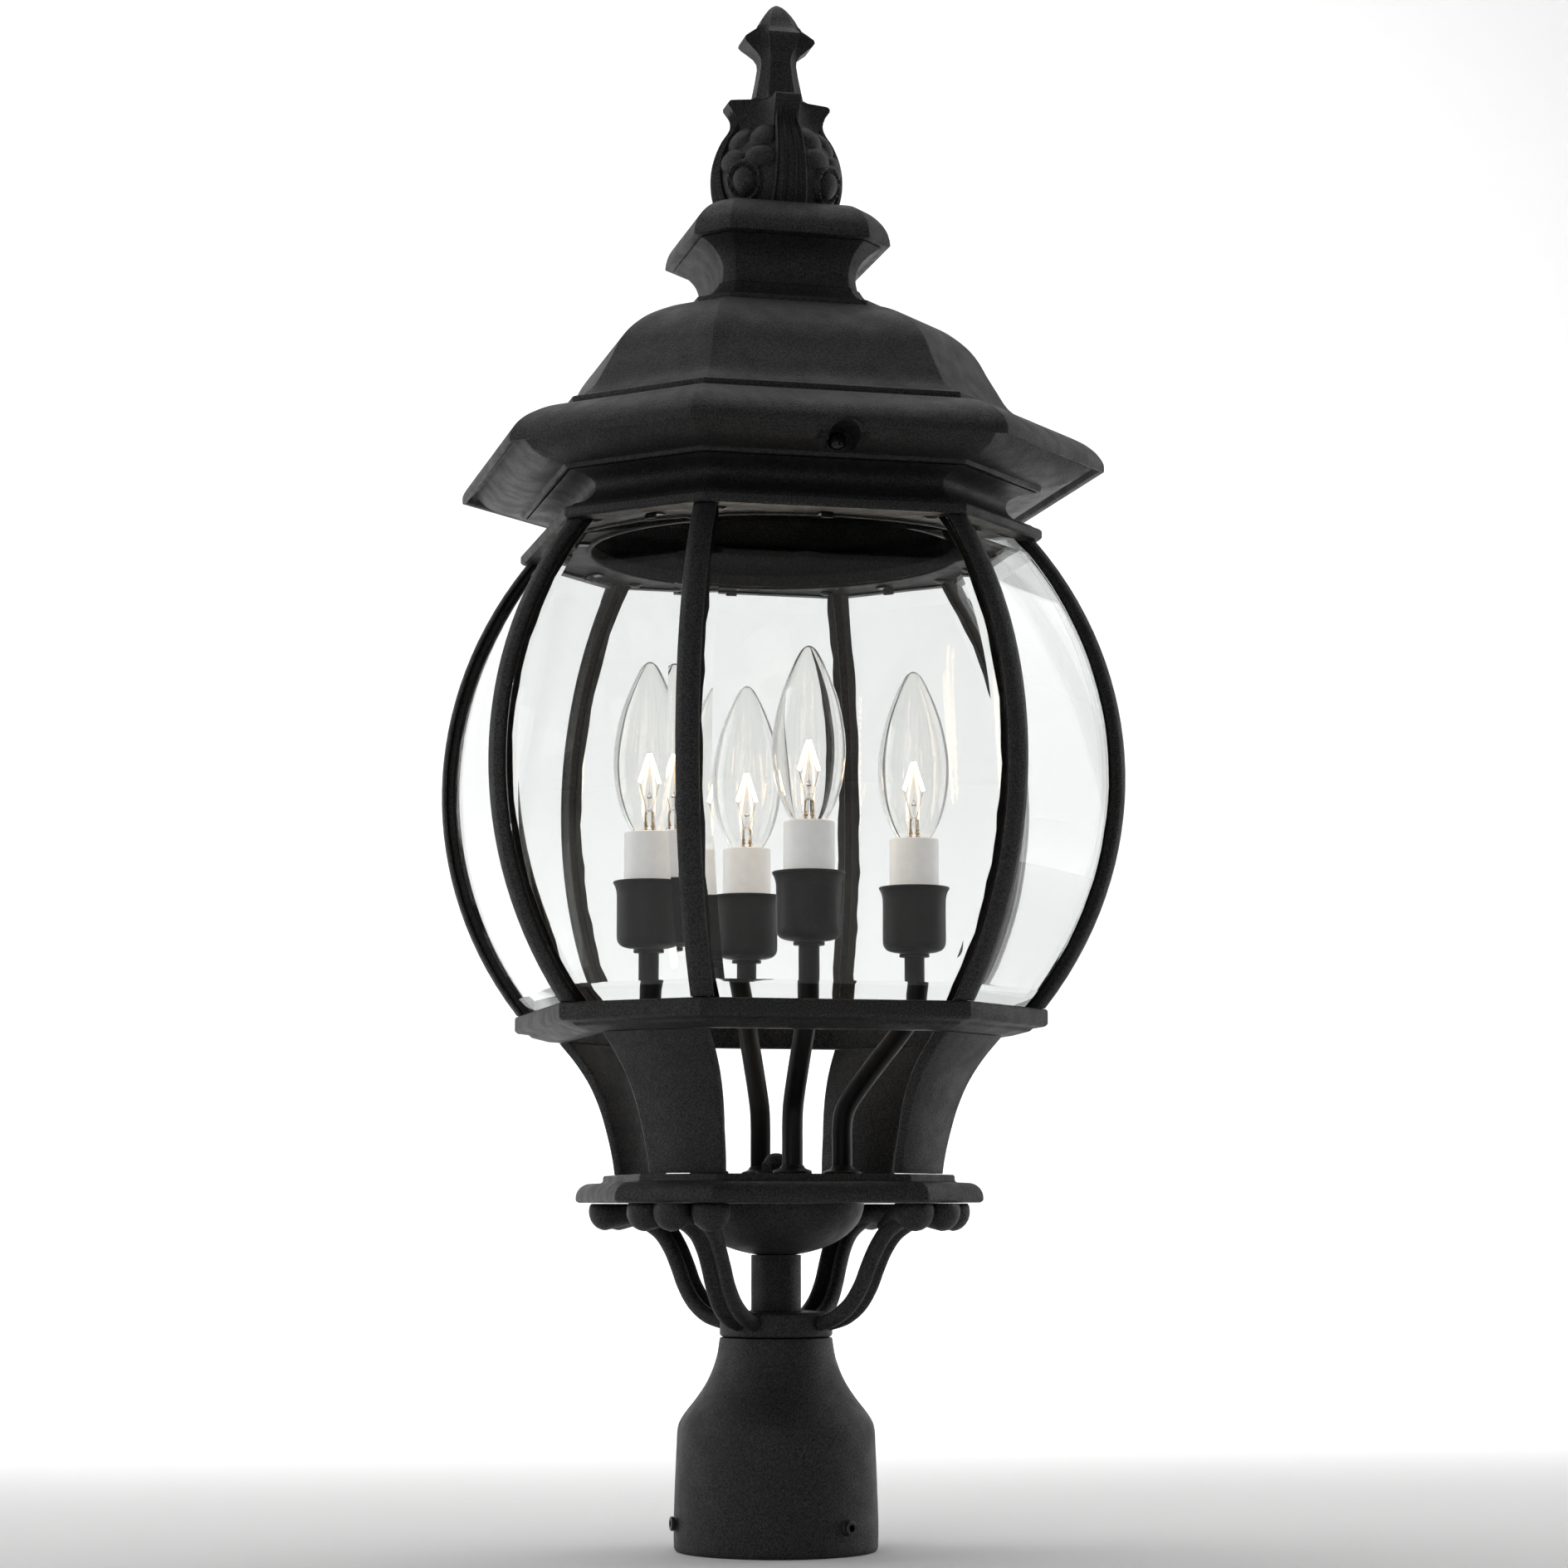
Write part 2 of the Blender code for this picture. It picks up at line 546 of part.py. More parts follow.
def finial():
    """Cast finial: ball wrapped in four leaves, a flared crown, and a four-lobed spire."""
    base = ROOF_TOP + GAP
    profile = [(0, base - 0.008), (STUD_RADIUS, base - 0.008), (STUD_RADIUS, base), (0.019, base)]
    profile += [(0.0238, base + 0.0038), (0.0267, 0.5618), (0.0278, 0.568), (0.0264, 0.576)]
    profile += [(0.0226, 0.5836), (0.0187, 0.59), (0.0184, 0.5925), (0.0202, 0.5952), (0.021, 0.598)]
    profile += [(0.0198, 0.6008), (0.0125, 0.6036), (0.0099, 0.607), (0.0084, 0.6145), (0.0078, 0.6205)]
    profile += [(0.0104, 0.6245), (0.0132, 0.629), (0.0102, 0.634), (0.0078, 0.6368), (0.0054, 0.6425)]
    profile += [(0.0022, 0.6458), (0, FINIAL_TOP)]
    obj = as_mesh(turned("finial", profile, BLACK, steps=24))
    for vertex in obj.data.vertices:
        point = vertex.co
        swing = point.x**4 + point.y**4 - 6 * point.x**2 * point.y**2
        radius = sqrt(point.x**2 + point.y**2)
        if radius < 1e-6:
            continue
        lobes = swing / radius**4
        crown = 0.07 if 0.594 < point.z < 0.602 else 0
        spade = 0.19 if 0.6235 < point.z < 0.635 else 0
        point.xy = point.xy * (1 + lobes * (crown + spade))


# ---------------------------------------------------------------- lamps


def lamp_arms():
    """Bent tubes from the plate to the lamps, with a foot flange and a thin disc under each cup."""
    top = CUP_BOTTOM - GAP
    bottom = PLATE_TOP + GAP
    for name, angle, reach in LAMPS:
        lean = reach - ARM_FOOT
        line = [(0, bottom, 1.9), (0, bottom + 0.0016, 1.9), (0, bottom + 0.0024, 1), (0, 0.174, 1)]
        line += [(0.04 * lean, 0.179, 1), (0.16 * lean, 0.1845, 1), (0.62 * lean, 0.2025, 1)]
        line += [(0.84 * lean, 0.2105, 1), (0.96 * lean, 0.216, 1), (lean, 0.2215, 1)]
        line += [(lean, top - 0.0018, 1), (lean, top - 0.0015, 1.5), (lean, top, 1.5)]
        curve = bpy.data.curves.new(f"lamp_arm_{name}", "CURVE")
        curve.dimensions = "3D"
        curve.bevel_depth = ARM_RADIUS
        curve.bevel_resolution = 2
        curve.use_fill_caps = True
        spline = curve.splines.new("POLY")
        spline.points.add(len(line) - 1)
        for point, (out, height, swell) in zip(spline.points, line):
            point.co = (ARM_FOOT + out, 0, height, 1)
            point.radius = swell
        place(f"lamp_arm_{name}", curve, BLACK, turn=angle)


def lamp_spot(angle, reach, height):
    """Where a lamp's axis meets this height."""
    return (reach * cos(radians(angle)), reach * sin(radians(angle)), height)


def socket_cups():
    """Cups with a rounded floor and a flared rim; the lampholder's barrel stands inside."""
    height, floor = CUP_TOP - CUP_BOTTOM, CUP_FLOOR - CUP_BOTTOM
    barrel, well = BARREL_TOP - CUP_BOTTOM, BARREL_FLOOR - CUP_BOTTOM
    profile = [(0, 0), (0.0085, 0), (0.0118, 0.0012), (0.0132, 0.004), (0.0132, 0.0232), (0.0147, 0.0263)]
    profile += [(0.0145, height), (0.0133, 0.0265), (0.0119, 0.0232), (0.0119, floor)]
    profile += [(BARREL_RADIUS, floor), (BARREL_RADIUS, barrel), (0.0063, barrel), (0.0063, well), (0, well)]
    for name, angle, reach in LAMPS:
        turned(f"socket_cup_{name}", profile, BLACK, 16, lamp_spot(angle, reach, CUP_BOTTOM))


def candle_sleeves():
    """White tubes over the lampholders, turned in at the top."""
    length = SLEEVE_TOP - CUP_FLOOR - GAP
    profile = [(0.0091, 0), (SLEEVE_RADIUS, 0), (SLEEVE_RADIUS, length - 0.0008), (0.0097, length)]
    profile += [(0.0072, length), (0.0072, length - 0.0014), (0.0091, length - 0.0014)]
    for name, angle, reach in LAMPS:
        turned(f"candle_sleeve_{name}", profile, WHITE, 16, lamp_spot(angle, reach, CUP_FLOOR + GAP))


def bulbs():
    """Torpedo bulbs with their screw bases; each stands in its lampholder and lifts out upwards."""
    base = BARREL_FLOOR + GAP
    profile = [(0, 0), (0.0035, 0), (0.0058, 0.004), (0.0058, 0.0262), (0.0069, 0.0274), (0.0108, 0.0348)]
    profile += [(0.0133, 0.0428), (0.0147, 0.051), (0.0148, 0.0585), (0.0138, 0.067), (0.0117, 0.0763)]
    profile += [(0.0089, 0.0845), (0.0058, 0.0914), (0.0028, 0.0961), (0, BULB_TOP - base)]
    for name, angle, reach in LAMPS:
        turned(f"bulb_{name}", profile, BULB, 16, lamp_spot(angle, reach, base))


def cap_nut():
    """Domed nut at the middle of the plate."""
    base = PLATE_TOP + GAP
    profile = [(0, base), (0.0085, base), (0.0085, base + 0.0015), (0.0062, base + 0.0018)]
    profile += [(0.006, base + 0.0052), (0.0042, base + 0.0078), (0, base + 0.0088)]
    turned("cap_nut", profile, BLACK, steps=16)


clear_scene()
PARTS = new_collection(OBJECT_NAME)
CUTTERS = new_collection("cutters", hidden=True)

for make in (post_fitter, set_screws, hub_and_stem, wiring_bowl, scroll_brackets, lower_plate, legs):
    make()
for make in (cage_bottom_ring, ribs, glass_panes, cage_top_plate, frieze_ring):
    make()
for make in (roof_eave, roof_screws, roof_dome, roof_neck, roof_cap, finial):
    make()
for make in (lamp_arms, socket_cups, candle_sleeves, bulbs, cap_nut):
    make()
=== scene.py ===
"""Looks of the post-top lantern: fine castings, bent bevelled glass, candle lamps and their finishes."""

import logging
from collections.abc import Callable, Sequence
from dataclasses import dataclass
from enum import Enum
from math import cos, hypot, pi, radians, sin, sqrt, tan
from typing import Protocol

import bmesh
import bpy
from mathutils import Matrix, Vector

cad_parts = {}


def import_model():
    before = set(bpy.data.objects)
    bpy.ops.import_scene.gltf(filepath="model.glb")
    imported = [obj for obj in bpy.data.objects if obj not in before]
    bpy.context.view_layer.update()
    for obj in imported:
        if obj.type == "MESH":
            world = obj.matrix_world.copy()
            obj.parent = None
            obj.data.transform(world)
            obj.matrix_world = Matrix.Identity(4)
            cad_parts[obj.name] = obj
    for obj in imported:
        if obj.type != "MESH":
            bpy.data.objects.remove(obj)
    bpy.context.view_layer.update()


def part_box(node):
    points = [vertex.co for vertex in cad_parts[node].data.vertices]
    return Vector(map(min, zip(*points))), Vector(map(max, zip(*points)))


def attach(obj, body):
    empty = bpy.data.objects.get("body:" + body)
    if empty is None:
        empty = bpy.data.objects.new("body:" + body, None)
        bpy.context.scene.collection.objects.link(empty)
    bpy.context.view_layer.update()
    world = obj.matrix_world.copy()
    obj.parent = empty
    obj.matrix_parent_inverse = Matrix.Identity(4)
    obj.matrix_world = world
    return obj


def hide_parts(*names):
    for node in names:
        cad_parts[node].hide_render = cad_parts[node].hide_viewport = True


log = logging.getLogger("lantern")

Point = tuple[float, float]
Colour = tuple[float, float, float]
Ring = list[Vector]
Stroke = Sequence[Point]
Socket = bpy.types.NodeSocket
Wire = Socket | float | tuple[float, ...] | None

TAN_EIGHTH = tan(pi / 8)
FLAT_EXCESS = 0.0122  # each flat across X or Y is this much longer at both ends than a regular octagon's
DIAGONAL_EXCESS = FLAT_EXCESS / sqrt(2)
HAIR = 0.0003  # gap between pieces that touch
NOISE_LOW, NOISE_HIGH = 0.35, 0.65  # most of a noise's values lie between these


class Slot(Enum):
    """The record's material slots."""

    COAT = "black_coat"
    STEEL = "screw_steel"
    PANE = "clear_glass"
    BULB = "bulb_glass"
    CANDLE = "candle_white"


# ------------------------------------------------------------------ finishes


class ShaderBench:
    """A material's node tree with its Principled node, and short calls that add nodes to it."""

    def __init__(self, name: str) -> None:
        """Start a node material.

        Args:
            name: The material's name.
        """
        self.material = bpy.data.materials.new(name)
        self.material.use_nodes = True
        self.nodes = self.material.node_tree.nodes
        self.links = self.material.node_tree.links
        self.principled = self.nodes["Principled BSDF"]
        self.output = self.nodes["Material Output"]
        self.coordinates = self.nodes.new("ShaderNodeTexCoord")

    def set(self, **values: float | tuple[float, ...]) -> None:
        """Set Principled inputs by name, with underscores for spaces."""
        for name, value in values.items():
            self.principled.inputs[name.replace("_", " ")].default_value = value

    def noise(self, scale: float, detail: float = 2.0, stretch: Colour = (1, 1, 1)) -> Socket:
        """A noise in object space.

        Args:
            scale: Features per metre.
            detail: Octaves.
            stretch: Scale along X, Y and Z.

        Returns:
            The noise's value socket.
        """
        mapping = self.nodes.new("ShaderNodeMapping")
        mapping.inputs["Scale"].default_value = stretch
        noise = self.nodes.new("ShaderNodeTexNoise")
        noise.inputs["Scale"].default_value = scale
        noise.inputs["Detail"].default_value = detail
        self.links.new(self.coordinates.outputs["Object"], mapping.inputs["Vector"])
        self.links.new(mapping.outputs["Vector"], noise.inputs["Vector"])
        return noise.outputs["Fac"]

    def ramp(self, value: Socket, stops: Sequence[tuple[float, Colour]]) -> Socket:
        """Colours along a value.

        Args:
            value: The socket that drives the ramp.
            stops: Positions with their colours.

        Returns:
            The colour socket.
        """
        ramp = self.nodes.new("ShaderNodeValToRGB")
        elements = ramp.color_ramp.elements
        while len(elements) < len(stops):
            elements.new(0.5)
        for element, (position, colour) in zip(elements, stops):
            element.position = position
            element.color = (*colour, 1)
        self.links.new(value, ramp.inputs["Fac"])
        return ramp.outputs["Color"]

    def spread(self, value: Socket, low: float, high: float) -> Socket:
        """Stretch a noise, whose values lie mostly between its usual limits, to another range.

        Args:
            value: The noise's socket.
            low: What the usual lower limit becomes.
            high: What the usual upper limit becomes.

        Returns:
            The stretched value's socket.
        """
        spread = self.nodes.new("ShaderNodeMapRange")
        spread.inputs["From Min"].default_value = NOISE_LOW
        spread.inputs["From Max"].default_value = NOISE_HIGH
        spread.inputs["To Min"].default_value = low
        spread.inputs["To Max"].default_value = high
        self.links.new(value, spread.inputs["Value"])
        return spread.outputs["Result"]

    def bump(self, height: Socket, strength: float, distance: float, below: Socket | None = None) -> Socket:
        """Bump the surface.

        Args:
            height: The height's socket.
            strength: How much of the bump shows.
            distance: Height of the bump in metres.
            below: Normal socket of a bump that this one lies over.

        Returns:
            The normal's socket.
        """
        bump = self.nodes.new("ShaderNodeBump")
        bump.inputs["Strength"].default_value = strength
        bump.inputs["Distance"].default_value = distance
        self.links.new(height, bump.inputs["Height"])
        if below is not None:
            self.links.new(below, bump.inputs["Normal"])
        return bump.outputs["Normal"]

    def feed(self, name: str, socket: Socket) -> None:
        """Link a socket to a Principled input."""
        self.links.new(socket, self.principled.inputs[name])

    def clear_to_lamps(self) -> None:
        """Let shadow rays through the glass, so that what is behind it is lit."""
        path = self.nodes.new("ShaderNodeLightPath")
        through = self.nodes.new("ShaderNodeBsdfTransparent")
        mix = self.nodes.new("ShaderNodeMixShader")
        self.links.new(path.outputs["Is Shadow Ray"], mix.inputs["Fac"])
        self.links.new(self.principled.outputs["BSDF"], mix.inputs[1])
        self.links.new(through.outputs["BSDF"], mix.inputs[2])
        self.links.new(mix.outputs["Shader"], self.output.inputs["Surface"])


class Finish(Protocol):
    """What every finish has: a name, and a material of its own."""

    name: str

    def material(self) -> bpy.types.Material:
        """Make the material."""


@dataclass(frozen=True)
class PowderCoat:
    """Fine-textured black powder coat on cast aluminium."""

    name: str = "textured_black_coat"
    dark: Colour = (0.002, 0.002, 0.0021)
    light: Colour = (0.032, 0.032, 0.0325)
    grain: float = 1500.0
    grain_height: float = 0.0004

    def material(self) -> bpy.types.Material:
        """Build the material.

        Returns:
            The new material.
        """
        bench = ShaderBench(self.name)
        grain = bench.noise(self.grain, 3.0)
        cast = bench.noise(120.0, 2.0)
        bench.feed("Base Color", bench.ramp(grain, ((0.38, self.dark), (0.62, self.light))))
        bench.feed("Roughness", bench.spread(cast, 0.46, 0.58))
        under = bench.bump(cast, 0.05, 0.0006)
        bench.feed("Normal", bench.bump(grain, 0.85, self.grain_height, under))
        bench.set(Metallic=0.0, Specular_IOR_Level=0.3)
        return bench.material


@dataclass(frozen=True)
class SmoothCoat:
    """Thinner black paint of the tubes and cups, with a faint brushed run along them."""

    name: str = "smooth_black_paint"
    dark: Colour = (0.0028, 0.0027, 0.0026)
    light: Colour = (0.0075, 0.0068, 0.0062)

    def material(self) -> bpy.types.Material:
        """Build the material.

        Returns:
            The new material.
        """
        bench = ShaderBench(self.name)
        run = bench.noise(420.0, 3.0, (1, 1, 0.12))
        bench.feed("Base Color", bench.ramp(run, ((0.35, self.dark), (0.68, self.light))))
        bench.feed("Roughness", bench.spread(run, 0.36, 0.5))
        bench.set(Specular_IOR_Level=0.22)
        return bench.material


@dataclass(frozen=True)
class BlackOxide:
    """Black-oxide steel of the screws."""

    name: str = "black_oxide_steel"
    dark: Colour = (0.03, 0.029, 0.028)
    light: Colour = (0.075, 0.073, 0.07)

    def material(self) -> bpy.types.Material:
        """Build the material.

        Returns:
            The new material.
        """
        bench = ShaderBench(self.name)
        mottle = bench.noise(1500.0, 3.0)
        bench.feed("Base Color", bench.ramp(mottle, ((0.3, self.dark), (0.7, self.light))))
        bench.feed("Roughness", bench.spread(mottle, 0.26, 0.42))
        bench.feed("Normal", bench.bump(mottle, 0.2, 0.00005))
        bench.set(Metallic=1.0)
        return bench.material


@dataclass(frozen=True)
class ClearGlass:
    """Clear glass with a faint waviness."""

    name: str
    tint: Colour
    index: float
    wave: float
    wave_height: float

    def material(self) -> bpy.types.Material:
        """Build the material.

        Returns:
            The new material.
        """
        bench = ShaderBench(self.name)
        bench.set(Base_Color=(*self.tint, 1), Roughness=0.0, IOR=self.index, Transmission_Weight=1.0)
        bench.feed("Normal", bench.bump(bench.noise(self.wave, 1.0), 0.12, self.wave_height))
        bench.clear_to_lamps()
        return bench.material


@dataclass(frozen=True)
class CandlePlastic:
    """Satin white plastic of the candle sleeves, with a faint painted glow that brightens them though they
    give no light.
    """

    name: str = "candle_white_plastic"
    dark: Colour = (0.87, 0.865, 0.85)
    light: Colour = (0.93, 0.93, 0.92)
    # strength of a painted glow: faint white emission that brightens the sleeves, which are no lamp
    painted_glow: float = 0.25

    def material(self) -> bpy.types.Material:
        """Build the material.

        Returns:
            The new material.
        """
        bench = ShaderBench(self.name)
        cloud = bench.noise(260.0, 3.0)
        bench.feed("Base Color", bench.ramp(cloud, ((0.3, self.dark), (0.7, self.light))))
        bench.feed("Roughness", bench.spread(cloud, 0.3, 0.42))
        bench.feed("Normal", bench.bump(bench.noise(900.0), 0.08, 0.0001))
        bench.set(Subsurface_Weight=0.15, Subsurface_Radius=(0.004, 0.004, 0.004))
        # Painted light: a faint white emission makes the sleeve look brighter, as if lit
        bench.set(Emission_Color=(1.0, 0.98, 0.96, 1), Emission_Strength=self.painted_glow)
        return bench.material


@dataclass(frozen=True)
class BaseMetal:
    """Rolled metal of the bulbs' screw bases and their lead wires."""

    name: str
    dark: Colour
    light: Colour

    def material(self) -> bpy.types.Material:
        """Build the material.

        Returns:
            The new material.
        """
        bench = ShaderBench(self.name)
        streak = bench.noise(800.0, 2.0, (1, 1, 0.3))
        bench.feed("Base Color", bench.ramp(streak, ((0.3, self.dark), (0.7, self.light))))
        bench.feed("Roughness", bench.spread(streak, 0.2, 0.36))
        bench.set(Metallic=1.0)
        return bench.material


@dataclass(frozen=True)
class HotFilament:
    """Glowing tungsten."""

    name: str = "hot_filament"
    colour: Colour = (1.0, 0.7, 0.4)
    bright: Colour = (1.0, 0.78, 0.5)
    strength: float = 60.0

    def material(self) -> bpy.types.Material:
        """Build the material.

        Returns:
            The new material.
        """
        bench = ShaderBench(self.name)
        heat = bench.noise(600.0, 1.0)
        bench.feed("Emission Color", bench.ramp(heat, ((0.3, self.colour), (0.7, self.bright))))
        bench.set(Base_Color=(0.4, 0.3, 0.2, 1), Emission_Strength=self.strength)
        return bench.material


@dataclass(frozen=True)
class Sealant:
    """Black glazing sealant."""

    name: str = "glazing_sealant"
    dark: Colour = (0.012, 0.011, 0.010)
    light: Colour = (0.03, 0.026, 0.022)

    def material(self) -> bpy.types.Material:
        """Build the material.

        Returns:
            The new material.
        """
        bench = ShaderBench(self.name)
        lump = bench.noise(700.0, 2.0)
        bench.feed("Base Color", bench.ramp(lump, ((0.3, self.dark), (0.7, self.light))))
        bench.feed("Roughness", bench.spread(lump, 0.3, 0.5))
        bench.feed("Normal", bench.bump(lump, 0.4, 0.0004))
        return bench.material


class Palette:
    """Builds each finish once and hands out its material."""

    def __init__(self) -> None:
        """Start with nothing built."""
        self.built: dict[str, bpy.types.Material] = {}

    def of(self, finish: Finish) -> bpy.types.Material:
        """Look up a finish's material, and build it the first time.

        Args:
            finish: The finish.

        Returns:
            Its material.
        """
        if finish.name not in self.built:
            self.built[finish.name] = finish.material()
        return self.built[finish.name]


COAT = PowderCoat()
PAINT = SmoothCoat()
OXIDE = BlackOxide()
PANE_GLASS = ClearGlass("bent_clear_glass", (0.835, 0.845, 0.84), 1.34, 22.0, 0.0005)
BULB_GLASS = ClearGlass("bulb_clear_glass", (0.985, 0.98, 0.97), 1.47, 60.0, 0.0003)
CANDLE = CandlePlastic()
BRASS = BaseMetal("bulb_base_brass", (0.5, 0.36, 0.15), (0.72, 0.55, 0.28))
GLOW = HotFilament()
SEAL = Sealant()


# ------------------------------------------------------------------ shapes

STROKE_STEPS = 4  # stretches between two points of a section's stroke


def curve_through(points: Sequence[Sequence[float]], steps: int) -> list[Vector]:
    """A smooth line through points, flat or in space, that doesn't swing past them.

    Args:
        points: Two or more points; two give a straight line.
        steps: Stretches between each pair.

    Returns:
        The line's points, both ends included.
    """
    knots = [Vector(point) for point in points]
    if len(knots) == 2:
        return knots
    ahead = [*knots[1:], knots[-1]]
    behind = [knots[0], *knots[:-1]]
    leads = [(after - before).normalized() for after, before in zip(ahead, behind)]
    line = []
    for start, end, lead_in, lead_out in zip(knots, knots[1:], leads, leads[1:]):
        span = (end - start).length
        for step in range(steps):
            t = step / steps
            blend = 3 * t**2 - 2 * t**3
            bow = lead_in * (t**3 - 2 * t**2 + t) + lead_out * (t**3 - t**2)
            line.append(start + (end - start) * blend + bow * span)
    return [*line, knots[-1]]


def trace(start: Point, *strokes: Stroke, closed: bool = True, fillet: float = 0.0005) -> list[Point]:
    """A section's line: each stroke is smooth, and the corners between strokes are slightly rounded.

    Args:
        start: The first point.
        strokes: Points of each stroke after the point where the last one ended.
        closed: Whether the line runs back to its start.
        fillet: How far each round reaches along the line.

    Returns:
        The section's points.
    """
    line, sharp, last = [Vector(start)], [closed], tuple(start)
    for stroke in strokes:
        run = curve_through([last, *stroke], STROKE_STEPS)[1:]
        line += run
        sharp += [False] * (len(run) - 1) + [True]
        last = stroke[-1]
    if not closed:
        sharp[-1] = False
    outline = []
    for i, (point, corner) in enumerate(zip(line, sharp)):
        if not corner:
            outline.append(tuple(point))
            continue
        back, ahead = line[i - 1] - point, line[(i + 1) % len(line)] - point
        back *= min(fillet / back.length, 0.4)
        ahead *= min(fillet / ahead.length, 0.4)
        outline += [tuple(point + back), tuple(point + 0.25 * (back + ahead)), tuple(point + ahead)]
    return outline


def octagon_ring(apothem: float, height: float, soft: float = 0.0014) -> Ring:
    """The lantern's outline with rounded corners.

    Args:
        apothem: Distance from the axis to the flats across X and Y.
        height: Its height.
        soft: Radius of the rounded corners.

    Returns:
        24 points, anticlockwise from above.
    """
    half_side = apothem * TAN_EIGHTH + FLAT_EXCESS
    pair = (Vector((half_side, -apothem, height)), Vector((apothem, -half_side, height)))
    corners = [Matrix.Rotation(k * pi / 2, 3, "Z") @ corner for k in range(4) for corner in pair]
    ring = []
    for i, corner in enumerate(corners):
        back = (corners[i - 1] - corner).normalized() * soft * TAN_EIGHTH
        ahead = (corners[(i + 1) % 8] - corner).normalized() * soft * TAN_EIGHTH
        ring += [corner + back, corner + 0.25 * (back + ahead), corner + ahead]
    return ring


def round_ring(radius: float, height: float, sides: int) -> Ring:
    """A circle of points about the axis."""
    angles = [2 * pi * i / sides for i in range(sides)]
    return [Vector((radius * cos(angle), radius * sin(angle), height)) for angle in angles]


def hexagon_ring(radius: float, height: float, sides: int) -> Ring:
    """A hexagon about the axis.

    Args:
        radius: Distance from the axis to its corners.
        height: Its height.
        sides: Points round it, a multiple of six.

    Returns:
        The points, anticlockwise from above.
    """
    ring = []
    for i in range(sides):
        angle = 2 * pi * i / sides
        flat = cos(pi / 6) / cos((angle % (pi / 3)) - pi / 6)
        ring.append(Vector((radius * flat * cos(angle), radius * flat * sin(angle), height)))
    return ring


def heading(line: Sequence[Vector], i: int) -> Vector:
    """Direction of a line at one of its points."""
    return (line[min(i + 1, len(line) - 1)] - line[max(i - 1, 0)]).normalized()


class Solid:
    """A mesh under construction: lofts and turned forms that end up as one piece."""

    def __init__(self) -> None:
        """Start empty."""
        self.work = bmesh.new()

    def loft(self, rings: Sequence[Ring], closed: bool = False) -> "Solid":
        """Skin rings of equal counts.

        Args:
            rings: The rings, in order.
            closed: Join the last ring to the first instead of capping both ends.

        Returns:
            This solid.
        """
        rows = [[self.work.verts.new(point) for point in ring] for ring in rings]
        made = []
        for lower, upper in zip(rows, rows[1:] + rows[:1] if closed else rows[1:]):
            for i in range(len(lower)):
                j = (i + 1) % len(lower)
                made.append(self.work.faces.new((lower[i], lower[j], upper[j], upper[i])))
        if not closed:
            made += [self.work.faces.new(rows[0]), self.work.faces.new(rows[-1])]
        bmesh.ops.recalc_face_normals(self.work, faces=made)
        return self

    def octagonal(self, section: Sequence[Point], closed: bool = True, soft: float = 0.0014) -> "Solid":
        """Loft an (apothem, height) section round the octagon."""
        return self.loft([octagon_ring(apothem, height, soft) for apothem, height in section], closed)

    def turned(self, section: Sequence[Point], closed: bool = True, sides: int = 72) -> "Solid":
        """Turn a (radius, height) section about the axis; an open one is capped at both ends."""
        return self.loft([round_ring(radius, height, sides) for radius, height in section], closed)

    def ball(self, centre: Vector, radius: float) -> "Solid":
        """Add a ball.

        Args:
            centre: Its centre.
            radius: Its radius.

        Returns:
            This solid.
        """
        place = Matrix.Translation(centre)
        bmesh.ops.create_uvsphere(self.work, u_segments=28, v_segments=18, radius=radius, matrix=place)
        return self

    def tube(self, path: Sequence[Vector], radius: float | Sequence[float], sides: int = 16) -> "Solid":
        """A round bar along a path.

        Args:
            path: Its centre line.
            radius: One radius, or one for each point.
            sides: Points round the bar.

        Returns:
            This solid.
        """
        widths = list(radius) if isinstance(radius, Sequence) else [radius] * len(path)
        rings, across = [], None
        for i, point in enumerate(path):
            along = heading(path, i)
            if across is None:
                across = along.orthogonal().normalized()
            across = (across - along * across.dot(along)).normalized()
            over = along.cross(across)
            turn = [2 * pi * k / sides for k in range(sides)]
            rings.append([point + widths[i] * (across * cos(t) + over * sin(t)) for t in turn])
        return self.loft(rings)

    def moved(self, matrix: Matrix) -> "Solid":
        """Move everything built so far."""
        bmesh.ops.transform(self.work, matrix=matrix, verts=self.work.verts)
        return self

    def mesh(self, name: str, crease: float = 32.0) -> bpy.types.Mesh:
        """Finish the mesh.

        Args:
            name: Its name.
            crease: Edges that turn by more than this many degrees stay sharp.

        Returns:
            The mesh, shaded smooth.
        """
        mesh = bpy.data.meshes.new(name)
        for edge in self.work.edges:
            edge.smooth = edge.is_manifold and edge.calc_face_angle(0.0) < radians(crease)
        for face in self.work.faces:
            face.smooth = True
        self.work.to_mesh(mesh)
        self.work.free()
        return mesh


# ------------------------------------------------------------------ geometry nodes


